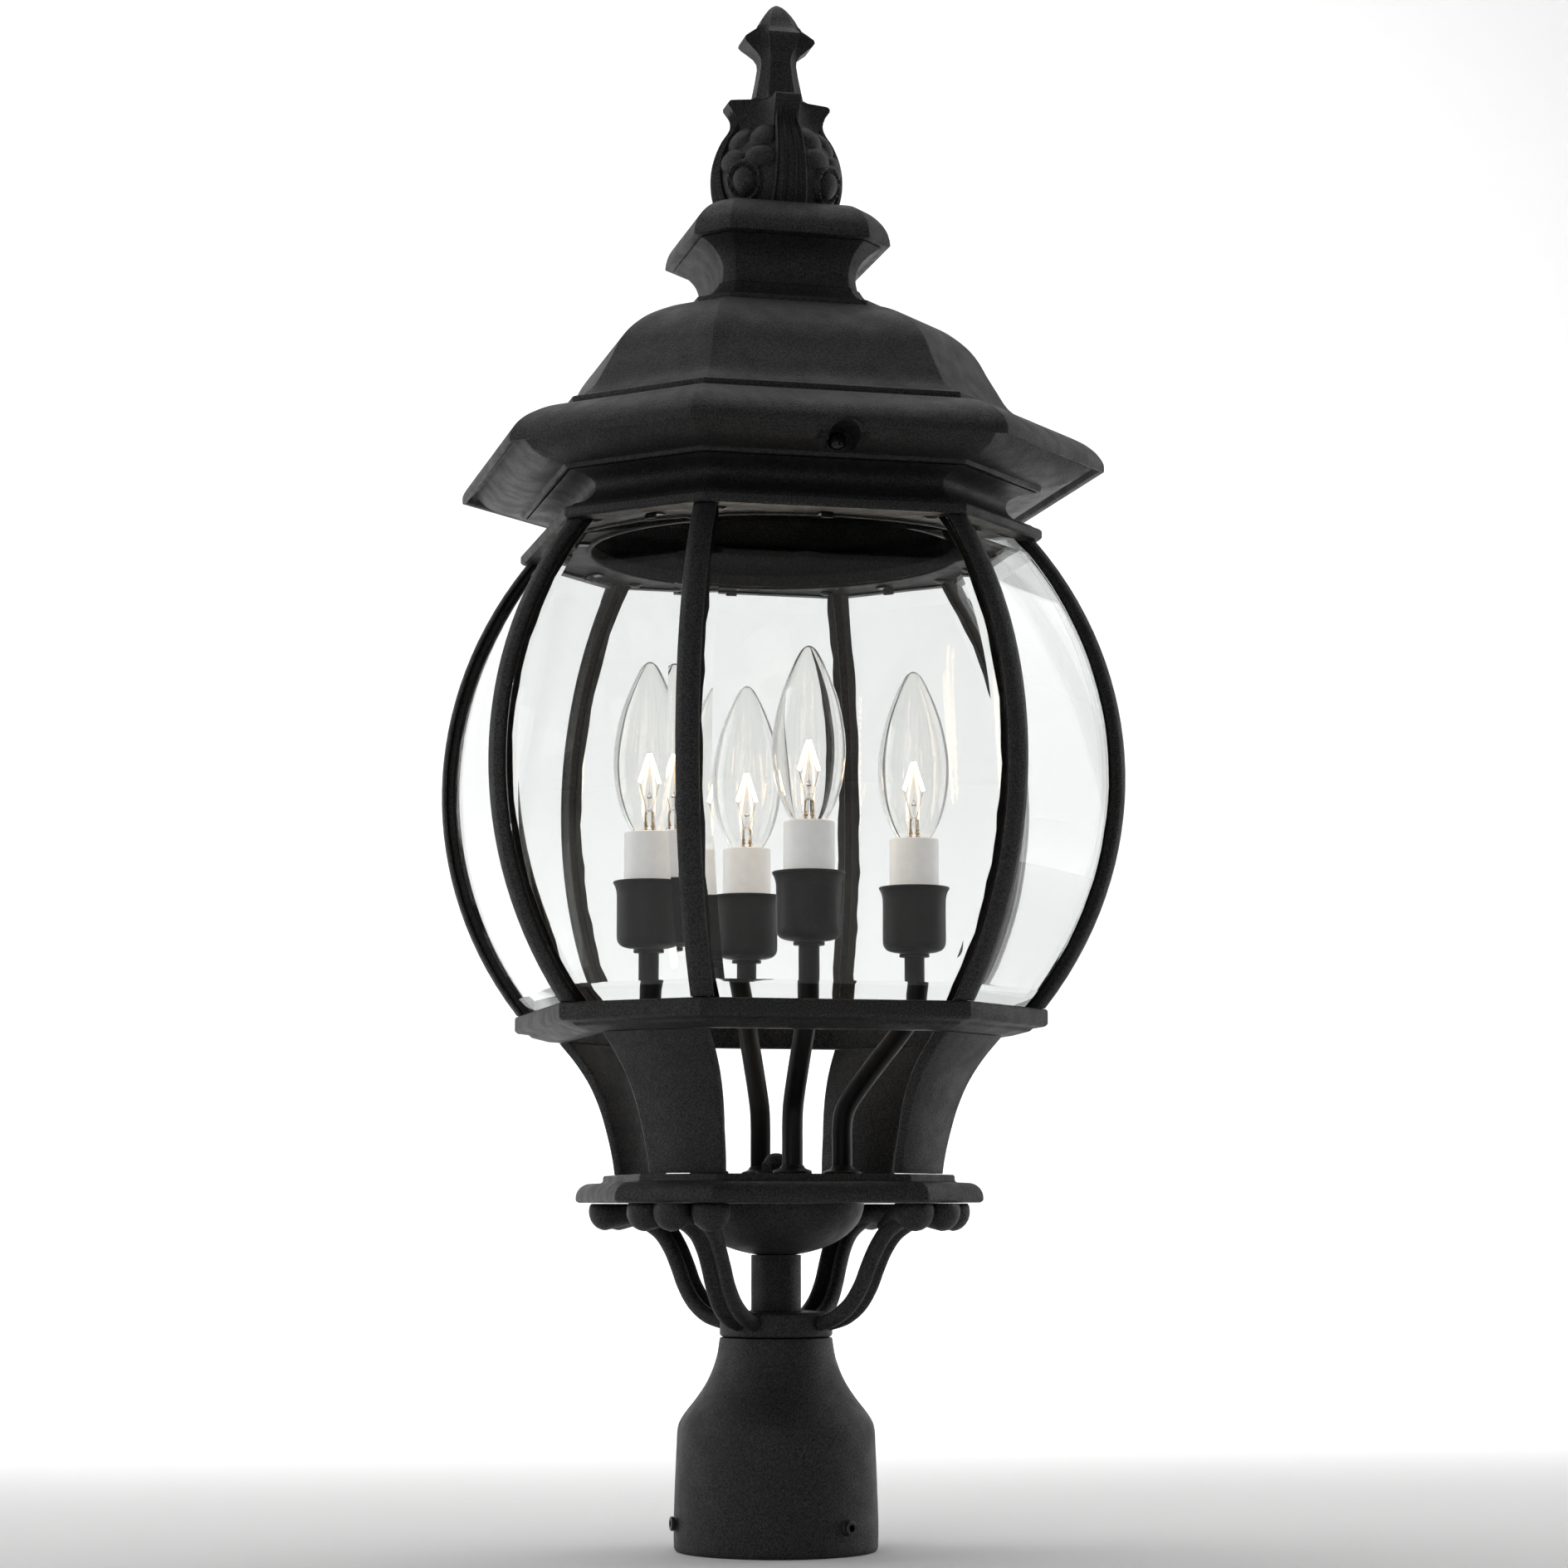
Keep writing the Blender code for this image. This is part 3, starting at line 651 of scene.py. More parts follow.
class CopyTree:
    """A Geometry Nodes tree that sets copies of its own mesh at worked-out places."""

    def __init__(self, name: str, sizes: Sequence[tuple[str, str]]) -> None:
        """Start a tree.

        Args:
            name: The tree's name.
            sizes: Names and socket types of its inputs, after the geometry.
        """
        self.tree = bpy.data.node_groups.new(name, "GeometryNodeTree")
        face = self.tree.interface
        face.new_socket("Item", in_out="INPUT", socket_type="NodeSocketGeometry")
        for label, kind in sizes:
            face.new_socket(label, in_out="INPUT", socket_type=kind)
        face.new_socket("Finish", in_out="INPUT", socket_type="NodeSocketMaterial")
        face.new_socket("Copies", in_out="OUTPUT", socket_type="NodeSocketGeometry")
        self.inputs = self.tree.nodes.new("NodeGroupInput").outputs
        self.result = self.tree.nodes.new("NodeGroupOutput").inputs

    def node(self, kind: str, *wires: Wire, **settings: str) -> bpy.types.Node:
        """Add a node.

        Args:
            kind: The node's type.
            wires: Sockets or numbers for its first inputs, in order; None leaves one alone.
            settings: Properties of the node.

        Returns:
            The node.
        """
        node = self.tree.nodes.new(kind)
        for name, value in settings.items():
            setattr(node, name, value)
        for socket, wire in zip([s for s in node.inputs if s.enabled], wires):
            if isinstance(wire, (int, float, tuple)):
                socket.default_value = wire
            elif wire is not None:
                self.tree.links.new(wire, socket)
        return node

    def maths(self, operation: str, *wires: Wire) -> Socket:
        """A number worked out from others."""
        return self.node("ShaderNodeMath", *wires, operation=operation).outputs[0]

    def close(self, places: Socket, count: Socket | int, turn: Socket) -> bpy.types.NodeTree:
        """Set the copies, and finish the tree.

        Args:
            places: Vector socket with each copy's place.
            count: Socket or number of copies.
            turn: Socket with each copy's turn about Z, in radians.

        Returns:
            The finished tree.
        """
        points = self.node("GeometryNodePoints", count, places)
        angles = self.node("ShaderNodeCombineXYZ", 0.0, 0.0, turn)
        rotation = self.node("FunctionNodeEulerToRotation", angles.outputs[0])
        copies = self.tree.nodes.new("GeometryNodeInstanceOnPoints")
        self.tree.links.new(points.outputs[0], copies.inputs["Points"])
        self.tree.links.new(self.inputs["Item"], copies.inputs["Instance"])
        self.tree.links.new(rotation.outputs[0], copies.inputs["Rotation"])
        return self.dress(copies.outputs[0])

    def dress(self, geometry: Socket) -> bpy.types.NodeTree:
        """Make everything real and give it the finish, as the tree's last nodes.

        Args:
            geometry: The geometry's socket.

        Returns:
            The finished tree.
        """
        real = self.node("GeometryNodeRealizeInstances", geometry)
        finish = self.tree.nodes.new("GeometryNodeSetMaterial")
        self.tree.links.new(real.outputs[0], finish.inputs["Geometry"])
        self.tree.links.new(self.inputs["Finish"], finish.inputs["Material"])
        self.tree.links.new(finish.outputs[0], self.result[0])
        return self.tree


def ring_tree() -> bpy.types.NodeTree:
    """Copies in a ring: Count of them, Reach from the axis, the first at First Angle.

    Returns:
        The tree.
    """
    kinds = (("Count", "NodeSocketInt"), ("Reach", "NodeSocketFloat"), ("First Angle", "NodeSocketFloat"))
    build = CopyTree("copies_in_a_ring", kinds)
    index = build.node("GeometryNodeInputIndex").outputs[0]
    step = build.maths("DIVIDE", 2 * pi, build.inputs["Count"])
    angle = build.maths("ADD", build.maths("MULTIPLY", index, step), build.inputs["First Angle"])
    across = build.maths("MULTIPLY", build.maths("COSINE", angle), build.inputs["Reach"])
    along = build.maths("MULTIPLY", build.maths("SINE", angle), build.inputs["Reach"])
    place = build.node("ShaderNodeCombineXYZ", across, along, 0.0)
    return build.close(place.outputs[0], build.inputs["Count"], angle)


def corner_tree() -> bpy.types.NodeTree:
    """Copies on the octagon's eight corners, each facing out: Apothem and Half Side place them.

    Returns:
        The tree.
    """
    kinds = (("Apothem", "NodeSocketFloat"), ("Half Side", "NodeSocketFloat"))
    build = CopyTree("copies_on_corners", kinds)
    index = build.node("GeometryNodeInputIndex").outputs[0]
    quarter = build.maths("MULTIPLY", build.maths("FLOOR", build.maths("DIVIDE", index, 2.0)), pi / 2)
    odd = build.maths("MODULO", index, 2.0)
    side = build.maths("SUBTRACT", build.maths("MULTIPLY", odd, 2.0), 1.0)
    offset = build.maths("MULTIPLY", side, build.inputs["Half Side"])
    corner = build.node("ShaderNodeCombineXYZ", build.inputs["Apothem"], offset, 0.0)
    spun = build.node("ShaderNodeVectorRotate", rotation_type="Z_AXIS")
    build.tree.links.new(corner.outputs[0], spun.inputs["Vector"])
    build.tree.links.new(quarter, spun.inputs["Angle"])
    facing = build.maths("ADD", quarter, build.maths("MULTIPLY", side, pi / 8))
    return build.close(spun.outputs[0], 8, facing)


def coil_tree() -> bpy.types.NodeTree:
    """A wire wound in a helix along +Z: Turns, Winding Radius, Length and Wire Radius.

    Returns:
        The tree.
    """
    labels = ("Turns", "Winding Radius", "Length", "Wire Radius")
    build = CopyTree("wound_wire", [(label, "NodeSocketFloat") for label in labels])
    spiral = build.tree.nodes.new("GeometryNodeCurveSpiral")
    spiral.inputs["Resolution"].default_value = 20
    for end in ("Start Radius", "End Radius"):
        build.tree.links.new(build.inputs["Winding Radius"], spiral.inputs[end])
    build.tree.links.new(build.inputs["Turns"], spiral.inputs["Rotations"])
    build.tree.links.new(build.inputs["Length"], spiral.inputs["Height"])
    wire = build.tree.nodes.new("GeometryNodeCurvePrimitiveCircle")
    wire.inputs["Resolution"].default_value = 8
    build.tree.links.new(build.inputs["Wire Radius"], wire.inputs["Radius"])
    skin = build.tree.nodes.new("GeometryNodeCurveToMesh")
    build.tree.links.new(spiral.outputs[0], skin.inputs["Curve"])
    build.tree.links.new(wire.outputs[0], skin.inputs["Profile Curve"])
    skin.inputs["Fill Caps"].default_value = True
    smooth = build.tree.nodes.new("GeometryNodeSetShadeSmooth")
    build.tree.links.new(skin.outputs[0], smooth.inputs[0])
    return build.dress(smooth.outputs[0])


# ------------------------------------------------------------------ workshop

Tool = tuple[bpy.types.Mesh, str]


class Workshop:
    """Turns meshes into finished pieces: placed, dressed, and riding on their bodies."""

    def __init__(self) -> None:
        """Build the palette and the node trees."""
        self.palette = Palette()
        self.ring = ring_tree()
        self.corners = corner_tree()
        self.coil = coil_tree()

    def grow(
        self, name: str, mesh: bpy.types.Mesh, tree: bpy.types.NodeTree, finish: Finish, **sizes: float
    ) -> bpy.types.Mesh:
        """Run a tree on a mesh.

        Args:
            name: Name of the new mesh.
            mesh: What the tree copies.
            tree: One of the workshop's trees.
            finish: The finish that the tree gives.
            sizes: Values of its inputs, with underscores for spaces.

        Returns:
            The result as a plain mesh.
        """
        holder = bpy.data.objects.new(name, mesh)
        bpy.context.scene.collection.objects.link(holder)
        modifier = holder.modifiers.new("Copies", "NODES")
        modifier.node_group = tree
        inputs = {s.name: s.identifier for s in tree.interface.items_tree if s.in_out == "INPUT"}
        for label, value in sizes.items():
            modifier[inputs[label.replace("_", " ")]] = value
        modifier[inputs["Finish"]] = self.palette.of(finish)
        graph = bpy.context.evaluated_depsgraph_get()
        grown = bpy.data.meshes.new_from_object(holder.evaluated_get(graph))
        grown.name = name
        bpy.data.objects.remove(holder)
        return grown

    def piece(
        self,
        name: str,
        mesh: bpy.types.Mesh,
        finish: Finish,
        slot: Slot,
        nodes: Sequence[str] = (),
        body: str = "frame",
    ) -> bpy.types.Object:
        """Make a finished piece.

        Args:
            name: Its name.
            mesh: Its mesh, in place.
            finish: Its finish.
            slot: The record's slot for its finish; not used.
            nodes: The CAD nodes it stands for.
            body: The body it rides on.

        Returns:
            The object.
        """
        obj = bpy.data.objects.new(name, mesh)
        bpy.context.scene.collection.objects.link(obj)
        mesh.materials.clear()
        mesh.materials.append(self.palette.of(finish))
        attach(obj, body)
        if nodes:
            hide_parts(*nodes)
        log.info("%s: %d faces on %s", name, len(mesh.polygons), body)
        return obj

    def cut(self, mesh: bpy.types.Mesh, tools: Sequence[Tool], name: str) -> bpy.types.Mesh:
        """Cut or join tool shapes.

        Args:
            mesh: The mesh to work on.
            tools: Tool meshes, in place, with their Boolean operation.
            name: Name of the result.

        Returns:
            The worked mesh.
        """
        holder = bpy.data.objects.new(name, mesh)
        bpy.context.scene.collection.objects.link(holder)
        helpers = []
        for tool, operation in tools:
            helper = bpy.data.objects.new("tool", tool)
            bpy.context.scene.collection.objects.link(helper)
            modifier = holder.modifiers.new("Cut", "BOOLEAN")
            modifier.operation, modifier.solver, modifier.object = operation, "EXACT", helper
            helpers.append(helper)
        graph = bpy.context.evaluated_depsgraph_get()
        done = bpy.data.meshes.new_from_object(holder.evaluated_get(graph))
        for obj in (*helpers, holder):
            bpy.data.objects.remove(obj)
        solid = Solid()
        solid.work.from_mesh(done)
        return solid.mesh(name)


def from_box(node: str, *strokes: Stroke, closed: bool = True, fillet: float = 0.0005) -> list[Point]:
    """A section placed by a node's box.

    Args:
        node: The CAD node.
        strokes: The start point alone, then strokes, each of (inset from the widest flat, rise) points.
        closed: Whether the line is a loop.
        fillet: How far the rounded corners reach.

    Returns:
        Points of (apothem or radius, height).
    """
    low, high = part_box(node)
    placed = [[(high[0] - inset, low[2] + rise) for inset, rise in stroke] for stroke in strokes]
    return trace(placed[0][0], *placed[1:], closed=closed, fillet=fillet)


def rod(start: Vector, end: Vector, radius: float, sides: int = 32) -> bpy.types.Mesh:
    """A plain rod between two points, for cutting."""
    return Solid().tube([start, end], radius, sides).mesh("rod")


# ------------------------------------------------------------------ sub-assemblies


@dataclass
class PostFitting:
    """The sleeve over the post, its set screws, the hub, the stem and the wiring bowl."""

    shop: Workshop
    screw_hole: float = 0.0032
    screw_length: float = 0.0078
    screw_radius: float = 0.0029
    socket_radius: float = 0.0016
    socket_depth: float = 0.0022
    wire_way: float = 0.0065

    def build(self) -> None:
        """Make every piece."""
        self.sleeve()
        for number in (1, 2, 3):
            self.set_screw(number)
        self.hub()
        self.bowl()

    def sleeve(self) -> None:
        """Bell-shaped sleeve, drilled for the set screws."""
        section = from_box(
            "post_fitter",
            [(0.0028, 0)],
            [(0.0011, 0)],
            [(0.0002, 0.0012)],
            [
                (0.0001, 0.012), (0.0012, 0.043), (0.0017, 0.0497), (0.0038, 0.054), (0.0092, 0.061),
                (0.0137, 0.068), (0.0171, 0.0767), (0.0186, 0.0852),
            ],
            [(0.0348, 0.0852)],
            [(0.035, 0.0815)],
            [(0.0217, 0.0815)],
            [(0.0203, 0.0767), (0.0169, 0.068), (0.0125, 0.061), (0.008, 0.0535)],
            [(0.008, 0.046)],
            [(0.0028, 0.046)],
        )
        mesh = Solid().turned(section, sides=120).mesh("sleeve")
        tools = []
        for number in (1, 2, 3):
            spot, outward = self.screw_axis(number)
            tools.append((rod(spot - outward * 0.01, spot + outward * 0.01, self.screw_hole), "DIFFERENCE"))
        mesh = self.shop.cut(mesh, tools, "post_sleeve")
        self.shop.piece("post_sleeve", mesh, COAT, Slot.COAT, ["post_fitter"])

    def screw_axis(self, number: int) -> tuple[Vector, Vector]:
        """Find a set screw.

        Args:
            number: Which one, 1 to 3.

        Returns:
            Its centre and its outward direction.
        """
        low, high = (Vector(corner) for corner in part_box(f"set_screw_{number}"))
        spot = (low + high) / 2
        return spot, Vector((spot.x, spot.y, 0)).normalized()

    def set_screw(self, number: int) -> None:
        """Socket screw with a chamfered end, a hexagon socket and a cut thread.

        Args:
            number: Which one, 1 to 3.
        """
        spot, outward = self.screw_axis(number)
        half, radius = self.screw_length / 2, self.screw_radius
        sides = 36
        turns = [(-half, 0.0018), (-half + 0.0006, 0.0026)]
        turns += [(-half + 0.0006 + 0.0003 * i, radius - (0.00028 if i % 2 else 0)) for i in range(1, 21)]
        turns += [(half - 0.0004, radius), (half, radius - 0.0004), (half, self.socket_radius + 0.0002)]
        rings = [round_ring(wide, along, sides) for along, wide in turns]
        rings += [
            hexagon_ring(self.socket_radius, along, sides) for along in (half, half - self.socket_depth)
        ]
        align = outward.to_track_quat("Z", "Y").to_matrix().to_4x4()
        mesh = Solid().loft(rings).moved(Matrix.Translation(spot) @ align).mesh(f"socket_screw_{number}")
        name = f"socket_screw_{number}"
        self.shop.piece(
            name, mesh, OXIDE, Slot.STEEL, [f"set_screw_{number}"], body=f"set_screw_{number}_body",
        )

    def hub(self) -> None:
        """Collar with a rounded rim and the stem that rises from it."""
        section = from_box(
            "hub_and_stem",
            [(0.0165, 0)],
            [(0.0008, 0)],
            [(0, 0.0009)],
            [(0, 0.0092)],
            [(0.0014, 0.01)],
            [(0.0119, 0.0101), (0.0128, 0.0108)],
            [(0.0128, 0.0331)],
            [(0.0165, 0.0322)],
        )
        mesh = Solid().turned(section).mesh("hub_and_stem_casting")
        self.shop.piece("hub_and_stem_casting", mesh, COAT, Slot.COAT, ["hub_and_stem"])

    def bowl(self) -> None:
        """Thin spun bowl with a rolled edge below the plate."""
        low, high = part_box("wiring_bowl")
        radius, depth = high[0], high[2] - low[2]
        turns = [radians(4 * i) for i in range(21)]
        outside = [(radius * cos(t), high[2] - depth * sin(t)) for t in turns] + [(self.wire_way, low[2])]
        inside = [(self.wire_way, low[2] + 0.0016)]
        inside += [(0.955 * radius * cos(t), high[2] - (depth - 0.0016) * sin(t)) for t in reversed(turns)]
        mesh = Solid().turned(outside + inside, sides=96).mesh("spun_bowl")
        self.shop.piece("spun_bowl", mesh, COAT, Slot.COAT, ["wiring_bowl"])


@dataclass
class ScrollBrackets:
    """Four cast straps, each of two cords with a groove between, ending in a leaf of three petals."""

    shop: Workshop
    petal: float = 0.0079
    petal_spread: float = 0.0153

    def build(self) -> None:
        """Make the four brackets as one casting."""
        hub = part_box("hub_and_stem")[1][0] + HAIR
        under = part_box("lower_plate")[0][2] - HAIR
        path = [
            (hub, 0.0912), (0.0305, 0.0937), (0.0372, 0.0988), (0.0421, 0.106), (0.0455, 0.1138),
            (0.0491, 0.121), (0.054, 0.1275), (0.061, 0.132), (0.068, 0.134),
        ]
        wide = (0.0138, 0.0146, 0.0138, 0.013, 0.0128, 0.013, 0.0145, 0.0185, 0.02)
        widths = curve_through(list(enumerate(wide)), 5)
        line = curve_through(path, 5)
        solid = Solid()
        rings = []
        for i, point in enumerate(line):
            along = heading(line, i) if i else Vector((1, 0))
            across = Vector((-along.y, along.x))
            half, deep = widths[i].y / 2, 0.0031 + 0.0003 * sin(pi * i / len(line))
            ring = []
            for side, lift in self.section():
                offset = across * (lift * deep)
                ring.append(Vector((point.x + offset.x, side * half, min(point.y + offset.y, under))))
            rings.append(ring)
        solid.loft(rings)
        for side in (-1, 0, 1):
            self.add_petal(solid, side, under)
        mesh = solid.mesh("bracket", 38)
        grown = self.shop.grow(
            "scroll_brackets", mesh, self.shop.ring, COAT, Count=4, Reach=0.0, First_Angle=pi / 4,
        )
        nodes = [f"scroll_bracket_{i}" for i in range(1, 5)]
        self.shop.piece("scroll_brackets", grown, COAT, Slot.COAT, nodes)

    def section(self) -> list[Point]:
        """Draw the strap's section: two cords side by side, with a groove between them.

        Returns:
            Points of (share of the half-width, share of the depth).
        """
        cord = [(-0.57 + 0.43 * cos(radians(a)), sin(radians(a))) for a in range(180, 331, 25)]
        lower = [*cord, (0, -0.3), *((-side, lift) for side, lift in reversed(cord))]
        return lower + [(side, -lift) for side, lift in reversed(lower)][1:-1]

    def add_petal(self, solid: Solid, side: int, under: float) -> None:
        """Add a tapering lobe that leaves the strap and swells under the plate's edge.

        Args:
            solid: The bracket's form.
            side: -1, 0 or 1, across the strap.
            under: Height of the plate's underside.
        """
        end = Vector((0.0772 if side == 0 else 0.0735, side * self.petal_spread, under - 0.0032))
        start = Vector((0.052, side * 0.0035, under - 0.0095))
        bend = Vector((0.062, side * (0.0075 if side else 0), under - 0.0042))
        path = curve_through([start, bend, end], 9)
        reach = self.petal * 0.92
        widths = []
        for i, point in enumerate(path):
            t = i / (len(path) - 1)
            widths.append(0.0026 + (self.petal - 0.0026) * t**1.6)
        tip = (path[-1] - path[-2]).normalized()
        for k in range(1, 7):
            angle = k * pi / 12
            path.append(end + tip * reach * sin(angle))
            widths.append(max(self.petal * cos(angle), 0.0004))
        before = len(solid.work.verts)
        solid.tube(path, widths, 20)
        solid.work.verts.ensure_lookup_table()
        for vertex in solid.work.verts[before:]:
            vertex.co.z = min(vertex.co.z, under)


@dataclass
class Cradle:
    """The octagonal plate and the four flared legs that carry the cage."""

    shop: Workshop
    foot: float = 0.0172
    head: float = 0.0235
    thickness: float = 0.0042
    edge_round: float = 0.0007

    def build(self) -> None:
        """Make the plate, the legs and the nut."""
        self.plate()
        self.legs()
        self.nut()

    def plate(self) -> None:
        """Plate with a quarter-round edge and a raised middle."""
        turns = [radians(a) for a in range(0, 91, 15)]
        edge = [(0.006 - 0.006 * cos(turn), 0.002 + 0.006 * sin(turn)) for turn in turns]
        section = from_box(
            "lower_plate",
            [(0.0012, 0)],
            [(0.0001, 0.0008)],
            edge,
            [(0.0101, 0.0082)],
            [(0.0107, 0.0091)],
            [(0.0107, 0.0106)],
            [(0.0113, 0.0112)],
            closed=False,
            fillet=0.0004,
        )
        mesh = Solid().octagonal(section, closed=False).mesh("moulded_plate")
        self.shop.piece("moulded_plate", mesh, COAT, Slot.COAT, ["lower_plate"])

    def legs(self) -> None:
        """Flared plates with rounded edges, concave outside."""
        foot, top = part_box("lower_plate")[1][2] + HAIR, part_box("cage_bottom_ring")[0][2] - HAIR
        rise = top - foot
        line = [
            (0.0687, 0), (0.0697, 0.13), (0.0719, 0.312), (0.0748, 0.494), (0.0792, 0.676),
            (0.0852, 0.84), (0.0928, 1),
        ]
        rings = []
        smooth = curve_through(line, 6)
        for i, (rho, share) in enumerate(smooth):
            t = i / (len(smooth) - 1)
            half = self.foot + (self.head - self.foot) * t**1.5
            deep = self.thickness * (1 + 0.48 * max(0.0, (t - 0.33) / 0.67))
            soft = self.edge_round
            height = foot + rise * share
            corners = ((0, -half + soft), (0, half - soft), (-soft, half), (-deep + soft, half))
            corners += ((-deep, half - soft), (-deep, -half + soft), (-deep + soft, -half), (-soft, -half))
            rings.append([Vector((rho + out, side, height)) for out, side in corners])
        mesh = Solid().loft(rings).mesh("leg", 50)
        grown = self.shop.grow(
            "flared_legs", mesh, self.shop.ring, COAT, Count=4, Reach=0.0, First_Angle=pi / 4,
        )
        self.shop.piece("flared_legs", grown, COAT, Slot.COAT, [f"leg_{i}" for i in range(1, 5)])

    def nut(self) -> None:
        """Domed cap nut on its washer at the plate's middle."""
        low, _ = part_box("cap_nut")
        base = low[2]
        solid = Solid().turned(
            [(0.0084, base), (0.0085, base + 0.0004), (0.0082, base + 0.0014), (0.0064, base + 0.0015)],
            closed=False,
        )
        sides, rings = 48, []
        for radius, rise in ((0.0061, 0.0015), (0.0062, 0.0019), (0.0062, 0.0045), (0.0058, 0.005)):
            rings.append(hexagon_ring(radius, base + rise, sides))
        for k in range(1, 8):
            angle = k * pi / 16
            rings.append(round_ring(0.0049 * cos(angle), base + 0.005 + 0.0038 * sin(angle), sides))
        solid.loft(rings)
        self.shop.piece("domed_nut", solid.mesh("domed_nut"), COAT, Slot.COAT, ["cap_nut"])


@dataclass
class Cage:
    """Bottom ring, ribs, bent panes with bevelled borders, top plate and frieze."""

    shop: Workshop
    opening: float = 0.0767
    clip_reach: float = 0.0838
    bulge_apothem: float = 0.1298
    bulge_radius: float = 0.1597
    bulge_middle: float = 0.3118
    rib_cap: float = 0.0028
    rib_width: float = 0.0092
    rib_web: float = 0.0032
    glass: float = 0.0034
    bevel: float = 0.0068
    bevel_loss: float = 0.0013
    steps: int = 30

    def build(self) -> None:
        """Make every piece."""
        self.bottom_ring()
        self.ribs()
        self.panes()
        self.sealant()
        self.top_plate()
        self.frieze()

    def bottom_ring(self) -> None:
        """Moulded ring with a stepped underside."""
        section = from_box(
            "cage_bottom_ring",
            [(0.021, 0)],
            [(0.0135, 0)],
            [(0.0068, 0.0018)],
            [(0.0056, 0.003)],
            [(0.0012, 0.0036)],
            [(0, 0.0047)],
            [(0, 0.0101)],
            [(0.0008, 0.0108)],
            [(0.021, 0.0108)],
            fillet=0.0004,
        )
        mesh = Solid().octagonal(section, soft=0.001).mesh("cage_floor_ring")
        self.shop.piece("cage_floor_ring", mesh, COAT, Slot.COAT, ["cage_bottom_ring"])

    def heights(self) -> list[float]:
        """Divide the space between the cage's floor and ceiling.

        Returns:
            Evenly spaced heights, both ends included.
        """
        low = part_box("cage_bottom_ring")[1][2] + HAIR
        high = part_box("cage_top_plate")[0][2] - HAIR
        return [low + (high - low) * i / self.steps for i in range(self.steps + 1)]

    def bulge(self, height: float) -> tuple[float, float]:
        """Apothem of the ribs' faces at a height, and how much a level cut stretches a wall."""
        level = sqrt(self.bulge_radius**2 - (height - self.bulge_middle) ** 2)
        return self.bulge_apothem - self.bulge_radius + level, self.bulge_radius / level

    def along_corner(self, outline: Callable[[float], Sequence[Point]]) -> list[Ring]:
        """Rings of a bar that follows a corner.

        Args:
            outline: (depth behind the face, sideways) points at a share of the height.

        Returns:
            Rings in the frame of a copy on a corner, whose X points out.
        """
        rings, levels = [], self.heights()
        for i, height in enumerate(levels):
            apothem, stretch = self.bulge(height)
            out = (apothem - self.bulge_apothem) / cos(pi / 8)
            section = outline(i / (len(levels) - 1))
            rings.append([Vector((out - depth * stretch, side, height)) for depth, side in section])
        return rings

    def on_corners(
        self, name: str, mesh: bpy.types.Mesh, finish: Finish, slot: Slot, nodes: Sequence[str] = ()
    ) -> None:
        """Copy a bar to the eight corners as one piece.

        Args:
            name: Name of the piece.
            mesh: The bar, in the frame of a copy on a corner.
            finish: Its finish.
            slot: The record's slot for its finish.
            nodes: The CAD nodes it stands for.
        """
        half_side = self.bulge_apothem * TAN_EIGHTH + FLAT_EXCESS
        sizes = {"Apothem": self.bulge_apothem, "Half_Side": half_side}
        grown = self.shop.grow(name, mesh, self.shop.corners, finish, **sizes)
        self.shop.piece(name, grown, finish, slot, nodes)

    def ribs(self) -> None:
        """T-shaped glazing bars: a narrow face between two slopes, and a web between the panes."""
        face, wide, web, cap = 0.0019, self.rib_width / 2, self.rib_web / 2, self.rib_cap
        half = [
            (0, 0), (0.00003, face - 0.0003), (0.00018, face + 0.0002), (0.0014, wide - 0.0004),
            (0.0018, wide - 0.0001), (0.0022, wide), (cap - 0.0002, wide), (cap, wide - 0.0002),
            (cap, web), (0.0073, web), (0.0074, web - 0.0003),
        ]
        outline = half + [(depth, -side) for depth, side in reversed(half[1:])]
        mesh = Solid().loft(self.along_corner(lambda _: outline)).mesh("rib", 28)
        self.on_corners("glazing_ribs", mesh, COAT, Slot.COAT, [f"rib_{i}" for i in range(1, 9)])

    def panes(self) -> None:
        """Four wide and four narrow panes, bent upright and flat across."""
        for kind, shift, first in (("wide", 0.0, 0.0), ("narrow", DIAGONAL_EXCESS, pi / 4)):
            mesh = self.pane(kind, shift)
            sizes = {"Count": 4, "Reach": 0.0, "First_Angle": first}
            grown = self.shop.grow(f"{kind}_panes", mesh, self.shop.ring, PANE_GLASS, **sizes)
            self.shop.piece(
                f"{kind}_panes",
                grown,
                PANE_GLASS,
                Slot.PANE,
                [f"glass_{kind}_{i}" for i in range(1, 5)],
            )

